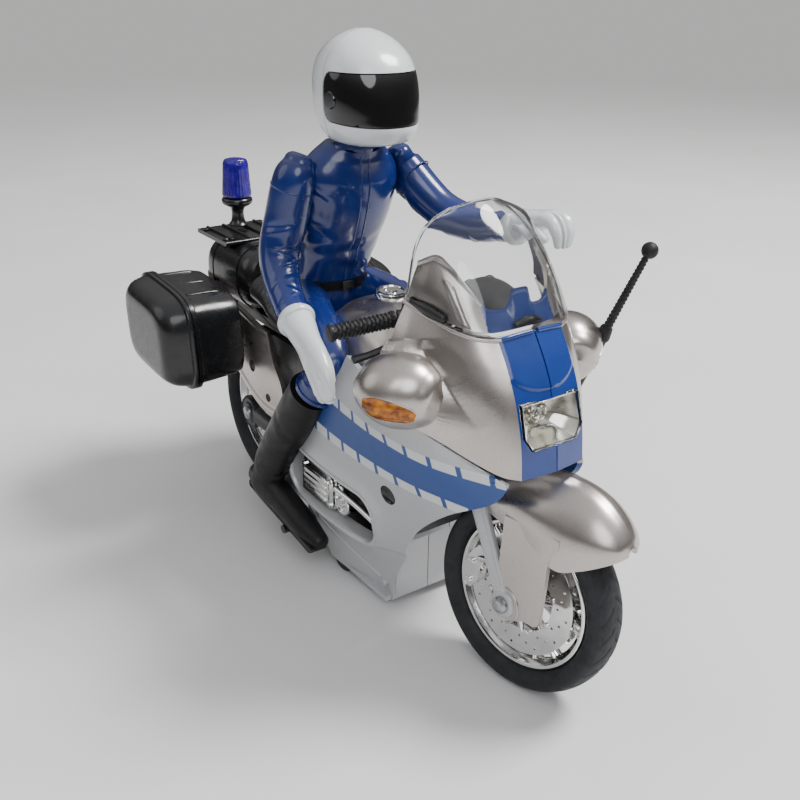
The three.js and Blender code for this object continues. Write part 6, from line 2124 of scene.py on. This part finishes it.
def leg(side):
    tag = "left" if side > 0 else "right"
    folds = creases(
        [
            (0.55, 0.2, 0.02, 0.7, 0.04), (0.63, 0.5, 0.02, 0.6, -0.03),
            (0.72, 0.2, 0.018, 0.8, 0.05), (0.80, 0.9, 0.016, 0.8, -0.04),
            (0.30, -0.4, 0.02, 0.8, 0.06), (0.20, 0.8, 0.018, 0.7, 0.06),
            (0.88, -0.4, 0.016, 0.9, 0.0),
        ],
        0.045,
    )
    trouser = limb(LEG["trouser"], ACROSS, 72, 16, folds)
    cuff = limb(
        [(vec(-3.6, 18.7, 59.3), 6.25, 6.45), (vec(-4.2, 18.86, 58.3), 6.25, 6.4)], ACROSS, 72, 2
    )
    seam_path = []
    for t in np.linspace(0.06, 0.97, 40):
        c = spline_at([s[0] for s in LEG["trouser"]], t)
        w = spline_at([s[1] for s in LEG["trouser"]], t)
        seam_path.append(c + vec(0, w * 0.992, 0))
    seam = sweep(seam_path, 0.22, 8)
    part = join(trouser, cuff, seam)
    piece(f"rider_leg_{tag}", on_side(part, side), SUIT_BLUE, node=f"rider_leg_{tag}", sharp=50)

    boot_folds = creases(
        [
            (0.62, 2.2, 0.02, 0.9, 0.05), (0.70, 1.6, 0.02, 0.9, -0.06),
            (0.78, 2.4, 0.02, 0.8, 0.05), (0.30, 0.4, 0.02, 0.9, 0.03),
        ],
        0.05,
    )
    shaft_part = limb(LEG["boot"], ACROSS, 64, 14, boot_folds)
    foot = limb(LEG["foot"], ACROSS, 64, 14, round_ends=0.7)
    sole_path = [
        (-37.4, 17.6), (-37.0, 15.4), (-30, 13.9), (-24, 13.8), (-20, 13.4), (-9, 11.4),
        (-1.6, 9.8), (-0.2, 10.6), (-1.6, 11.4), (-9, 12.6), (-20, 14.6), (-30, 15.2),
        (-36.0, 17.0),
    ]
    sole = prism(sole_path, 18.6, 24.6)
    boot = join(shaft_part, foot)
    boot = on_side(boot, side)
    sole = on_side(sole, side)
    piece(f"boot_{tag}", boot, BOOT_BLACK, node=f"boot_{tag}", sharp=50)
    piece(f"boot_sole_{tag}", sole, BLACK_SATIN, body="chassis", sharp=50, bevel=0.7, segments=3)


def arm(side):
    tag = "left" if side > 0 else "right"
    stations = ARM[tag]
    if side < 0:
        folds = creases(
            [
                (0.47, 1.2, 0.016, 0.9, 0.05), (0.55, 1.5, 0.018, 0.9, -0.05),
                (0.62, 1.2, 0.014, 0.8, 0.06), (0.52, 0.2, 0.016, 0.7, 0.04),
                (0.74, 1.8, 0.014, 0.9, 0.04), (0.83, 1.0, 0.014, 0.9, -0.04),
                (0.90, 2.4, 0.012, 0.8, 0.05), (0.35, 2.4, 0.018, 0.7, 0.05),
            ],
            0.06,
        )
    else:
        folds = creases(
            [
                (0.50, -1.6, 0.016, 0.9, 0.05), (0.58, -1.2, 0.018, 0.9, -0.05),
                (0.66, -2.0, 0.014, 0.8, 0.06), (0.78, -1.4, 0.014, 0.9, 0.04),
                (0.86, -0.9, 0.014, 0.9, -0.04), (0.93, -2.0, 0.012, 0.8, 0.05),
                (0.30, -2.4, 0.018, 0.7, 0.05),
            ],
            0.06,
        )
    body = limb(stations, ACROSS, 72, 16, folds, round_ends=0.6)
    face = side * (SHOULDER_FACE + GAP)
    room = block(-60, 40, *sorted((face, -side * 30)), 60, 130)
    body = carve(body, room)
    # the sewn-on sleeve edge, a ring round the shoulder
    lower, upper = stations[1], stations[2]
    c = lower[0] * 0.78 + upper[0] * 0.22
    ring = []
    along = unit(upper[0] - lower[0])
    wide = unit(ACROSS - along * (ACROSS @ along))
    deep = np.cross(along, wide)
    for a in 2 * np.pi * np.arange(48) / 48:
        ring.append(c + wide * math.cos(a) * 5.42 + deep * math.sin(a) * 6.1)
    seam = sweep(ring, 0.26, 8, closed=True)
    seam = carve(seam, room)
    piece(f"arm_{tag}", join(body, seam), SUIT_BLUE, node=f"arm_{tag}", sharp=45)

    glove_stations = GLOVE[tag]
    hand = limb(glove_stations, ACROSS, 80, 14, None, round_ends=0.6)
    verts = hand[0]
    first, second = glove_stations[0], glove_stations[1]
    axis = unit(second[0] - first[0])
    wide = unit(ACROSS - axis * (ACROSS @ axis))
    deep = np.cross(axis, wide)
    cuff_rings = []
    for d, g in ((-0.2, 0.0), (-0.1, 0.35), (0.6, 0.45), (1.3, 0.2), (1.6, -0.1)):
        a = 2 * np.pi * np.arange(72) / 72
        cuff_rings.append(
            first[0] + axis * d + np.outer(np.cos(a) * (first[1] + g), wide) + np.outer(
                np.sin(a) * (first[2] + g), deep
            )
        )
    cuff = loft(cuff_rings)
    # grooves between the fingers, pressed in along the hand
    ticks = np.linspace(0, 1, 80)
    centres = np.array([spline_at(np.array([s[0] for s in glove_stations]), t) for t in ticks])
    sizes = np.array([spline_at(np.array([s[1:] for s in glove_stations]), t) for t in ticks])
    across = deep if side < 0 else vec(0, 1, 0)
    out = []
    for p in verts:
        k = np.argmin(np.linalg.norm(centres - p, axis=1))
        share = ((p - centres[k]) @ across) / sizes[k][1 if side < 0 else 0]
        reach = np.clip((ticks[k] - 0.50) / 0.15, 0, 1)
        push = 0.0
        for g in (-0.48, 0.0, 0.48):
            push += math.exp(-(((share - g) / 0.11) ** 2))
        out.append(p - unit(p - centres[k]) * 0.8 * push * reach)
    hand = (np.array(out), hand[1])
    # the thumb lies along the inner side of the hand
    if side < 0:
        thumb = limb(
            [
                (vec(5.4, -25.9, 77.2), 1.5, 1.5), (vec(9.8, -25.9, 75.6), 1.5, 1.5),
                (vec(13.6, -26.2, 73.0), 1.4, 1.4), (vec(16.2, -26.8, 70.2), 1.1, 1.2),
            ],
            ACROSS, 32, 8, round_ends=0.8,
        )
    else:
        thumb = limb(
            [
                (vec(21, 26.6, 102.4), 1.5, 1.5), (vec(25, 25.6, 102.9), 1.5, 1.6),
                (vec(29, 25.6, 102.4), 1.3, 1.4), (vec(31.4, 26.2, 101.2), 1.1, 1.1),
            ],
            ACROSS, 32, 8, round_ends=0.8,
        )
    piece(f"glove_{tag}", join(hand, cuff, thumb), WHITE, node=f"glove_{tag}", sharp=50)


HELMET = [
    (121.7, 0.6, -18.6, 7.6), (122.8, 3.4, -20.6, 9.8), (125.4, 5, -22.6, 11.4),
    (129, 5, -23.8, 12.1), (134, 4.5, -24.4, 12.4), (138.6, 3.3, -24, 12), (142.4, 1, -22.2, 10.8),
    (145.6, -2.8, -18.9, 8.2), (147.7, -6.8, -14.8, 4.8), (148.6, -9.4, -12.2, 1.8),
]
VISOR = {"x": -9.6, "z0": 127.6, "z1": 139}


def helmet_shell(inset, sides=112, count=76):
    table = np.array(HELMET)
    rings = []
    for t in np.linspace(0, 1, count):
        z, front, back, half = spline_at(table, t)
        middle = (front + back) / 2 + (front - back) * 0.04
        ahead, behind = front - inset - middle, middle - back - inset
        a = 2 * np.pi * (np.arange(sides) + 0.5) / sides
        c, s = np.cos(a), np.sin(a)
        reach = np.where(c > 0, ahead, behind)
        x = middle + reach * np.sign(c) * abs(c) ** 0.92
        y = (half - inset) * np.sign(s) * abs(s) ** 0.92
        rings.append(np.stack([x, y, np.full(sides, z - inset * (t > 0.8) * (t - 0.8) * 5)], axis=1))
    return loft(rings)


def visor_cut(margin):
    """The side view of the eye opening: lower behind, with a round back corner."""
    x, z0, z1 = VISOR["x"], VISOR["z0"], VISOR["z1"]
    r = 2.6
    back = x + 0.3 - margin
    low, high = z0 - margin, z1 + margin
    out = [(12, low - 1.2), (12, high)]
    for k in range(9):
        a = math.pi / 2 + math.pi / 2 * k / 8
        out.append((back + r + r * math.cos(a), high - r + r * math.sin(a)))
    for k in range(9):
        a = math.pi + math.pi / 2 * k / 8
        out.append((back + r + r * math.cos(a), low + r + r * math.sin(a)))
    return out[::-1]


def helmet():
    full = helmet_shell(0)
    core = helmet_shell(1.4)
    neck_room = rod((-13, 0, 110), (-13, 0, 128), 4.7, 40)
    whole = carve(full, neck_room)
    band = prism(visor_cut(0.0), -20, 20)
    pocket = prism(visor_cut(GAP), -20, 20)
    pocket = carve(pocket, helmet_shell(1.9))
    front_box = block(VISOR["x"], 30, -20, 20, 100, 160)
    rear_box = block(-40, VISOR["x"] - GAP, -20, 20, 100, 160)
    visor = carve(full, band, operation="INTERSECT")
    visor = carve(visor, core)
    front = carve(whole, front_box, operation="INTERSECT")
    front = carve(front, pocket)
    rear = carve(whole, rear_box, operation="INTERSECT")
    piece("helmet_rear", rear, WHITE, node="helmet_rear", sharp=40, bevel=0.22, segments=3)
    piece("helmet_front", front, WHITE, node="helmet_front", sharp=40, bevel=0.22, segments=3)
    piece("visor", visor, VISOR_BLACK, node="visor", sharp=40, bevel=0.25, segments=3)
    # the hinge discs of the visor
    for s, tag in ((-1, "right"), (1, "left")):
        hub = lathe([(0, -0.8), (2.0, -0.8), (2.1, 0.0), (1.9, 0.25), (0, 0.3)], 40, (0, 0, 0))
        tree = BVHTree.FromPolygons([Vector(v) for v in full[0]], [list(f) for f in full[1]])
        hit, normal, _, _ = tree.ray_cast(Vector((-6.6, s * 30, 132.6)), Vector((0, -s, 0)))
        tilt = np.array(Vector((0, 1, 0)).rotation_difference(Vector(normal)).to_matrix())
        piece(
            f"visor_hinge_{tag}", (hub[0] @ tilt.T + np.array(hit[:]), hub[1]), VISOR_BLACK,
            body="head", sharp=40,
        )


torso()
leg(1)
leg(-1)
arm(1)
arm(-1)
helmet()

# --------------------------------------------- finishes on the CAD nodes that stay as they are
for name, material in (
    ("chassis_frame", BLACK_SATIN), ("drive_axle", STEEL), ("reduction_gear", GEAR),
    ("spring_barrel", GEAR), ("mainspring", STEEL), ("motor_case", BLACK_SATIN),
    ("motor_cover", BLACK_SATIN), ("roller_right", RUBBER), ("roller_left", RUBBER),
):
    obj = frame["nodes"][name]
    obj.data.materials.clear()
    obj.data.materials.append(material)
    soften = obj.modifiers.new("edges", "BEVEL")
    soften.width, soften.segments, soften.limit_method = 0.15 * MM, 2, "ANGLE"
    soften.angle_limit = math.radians(35)
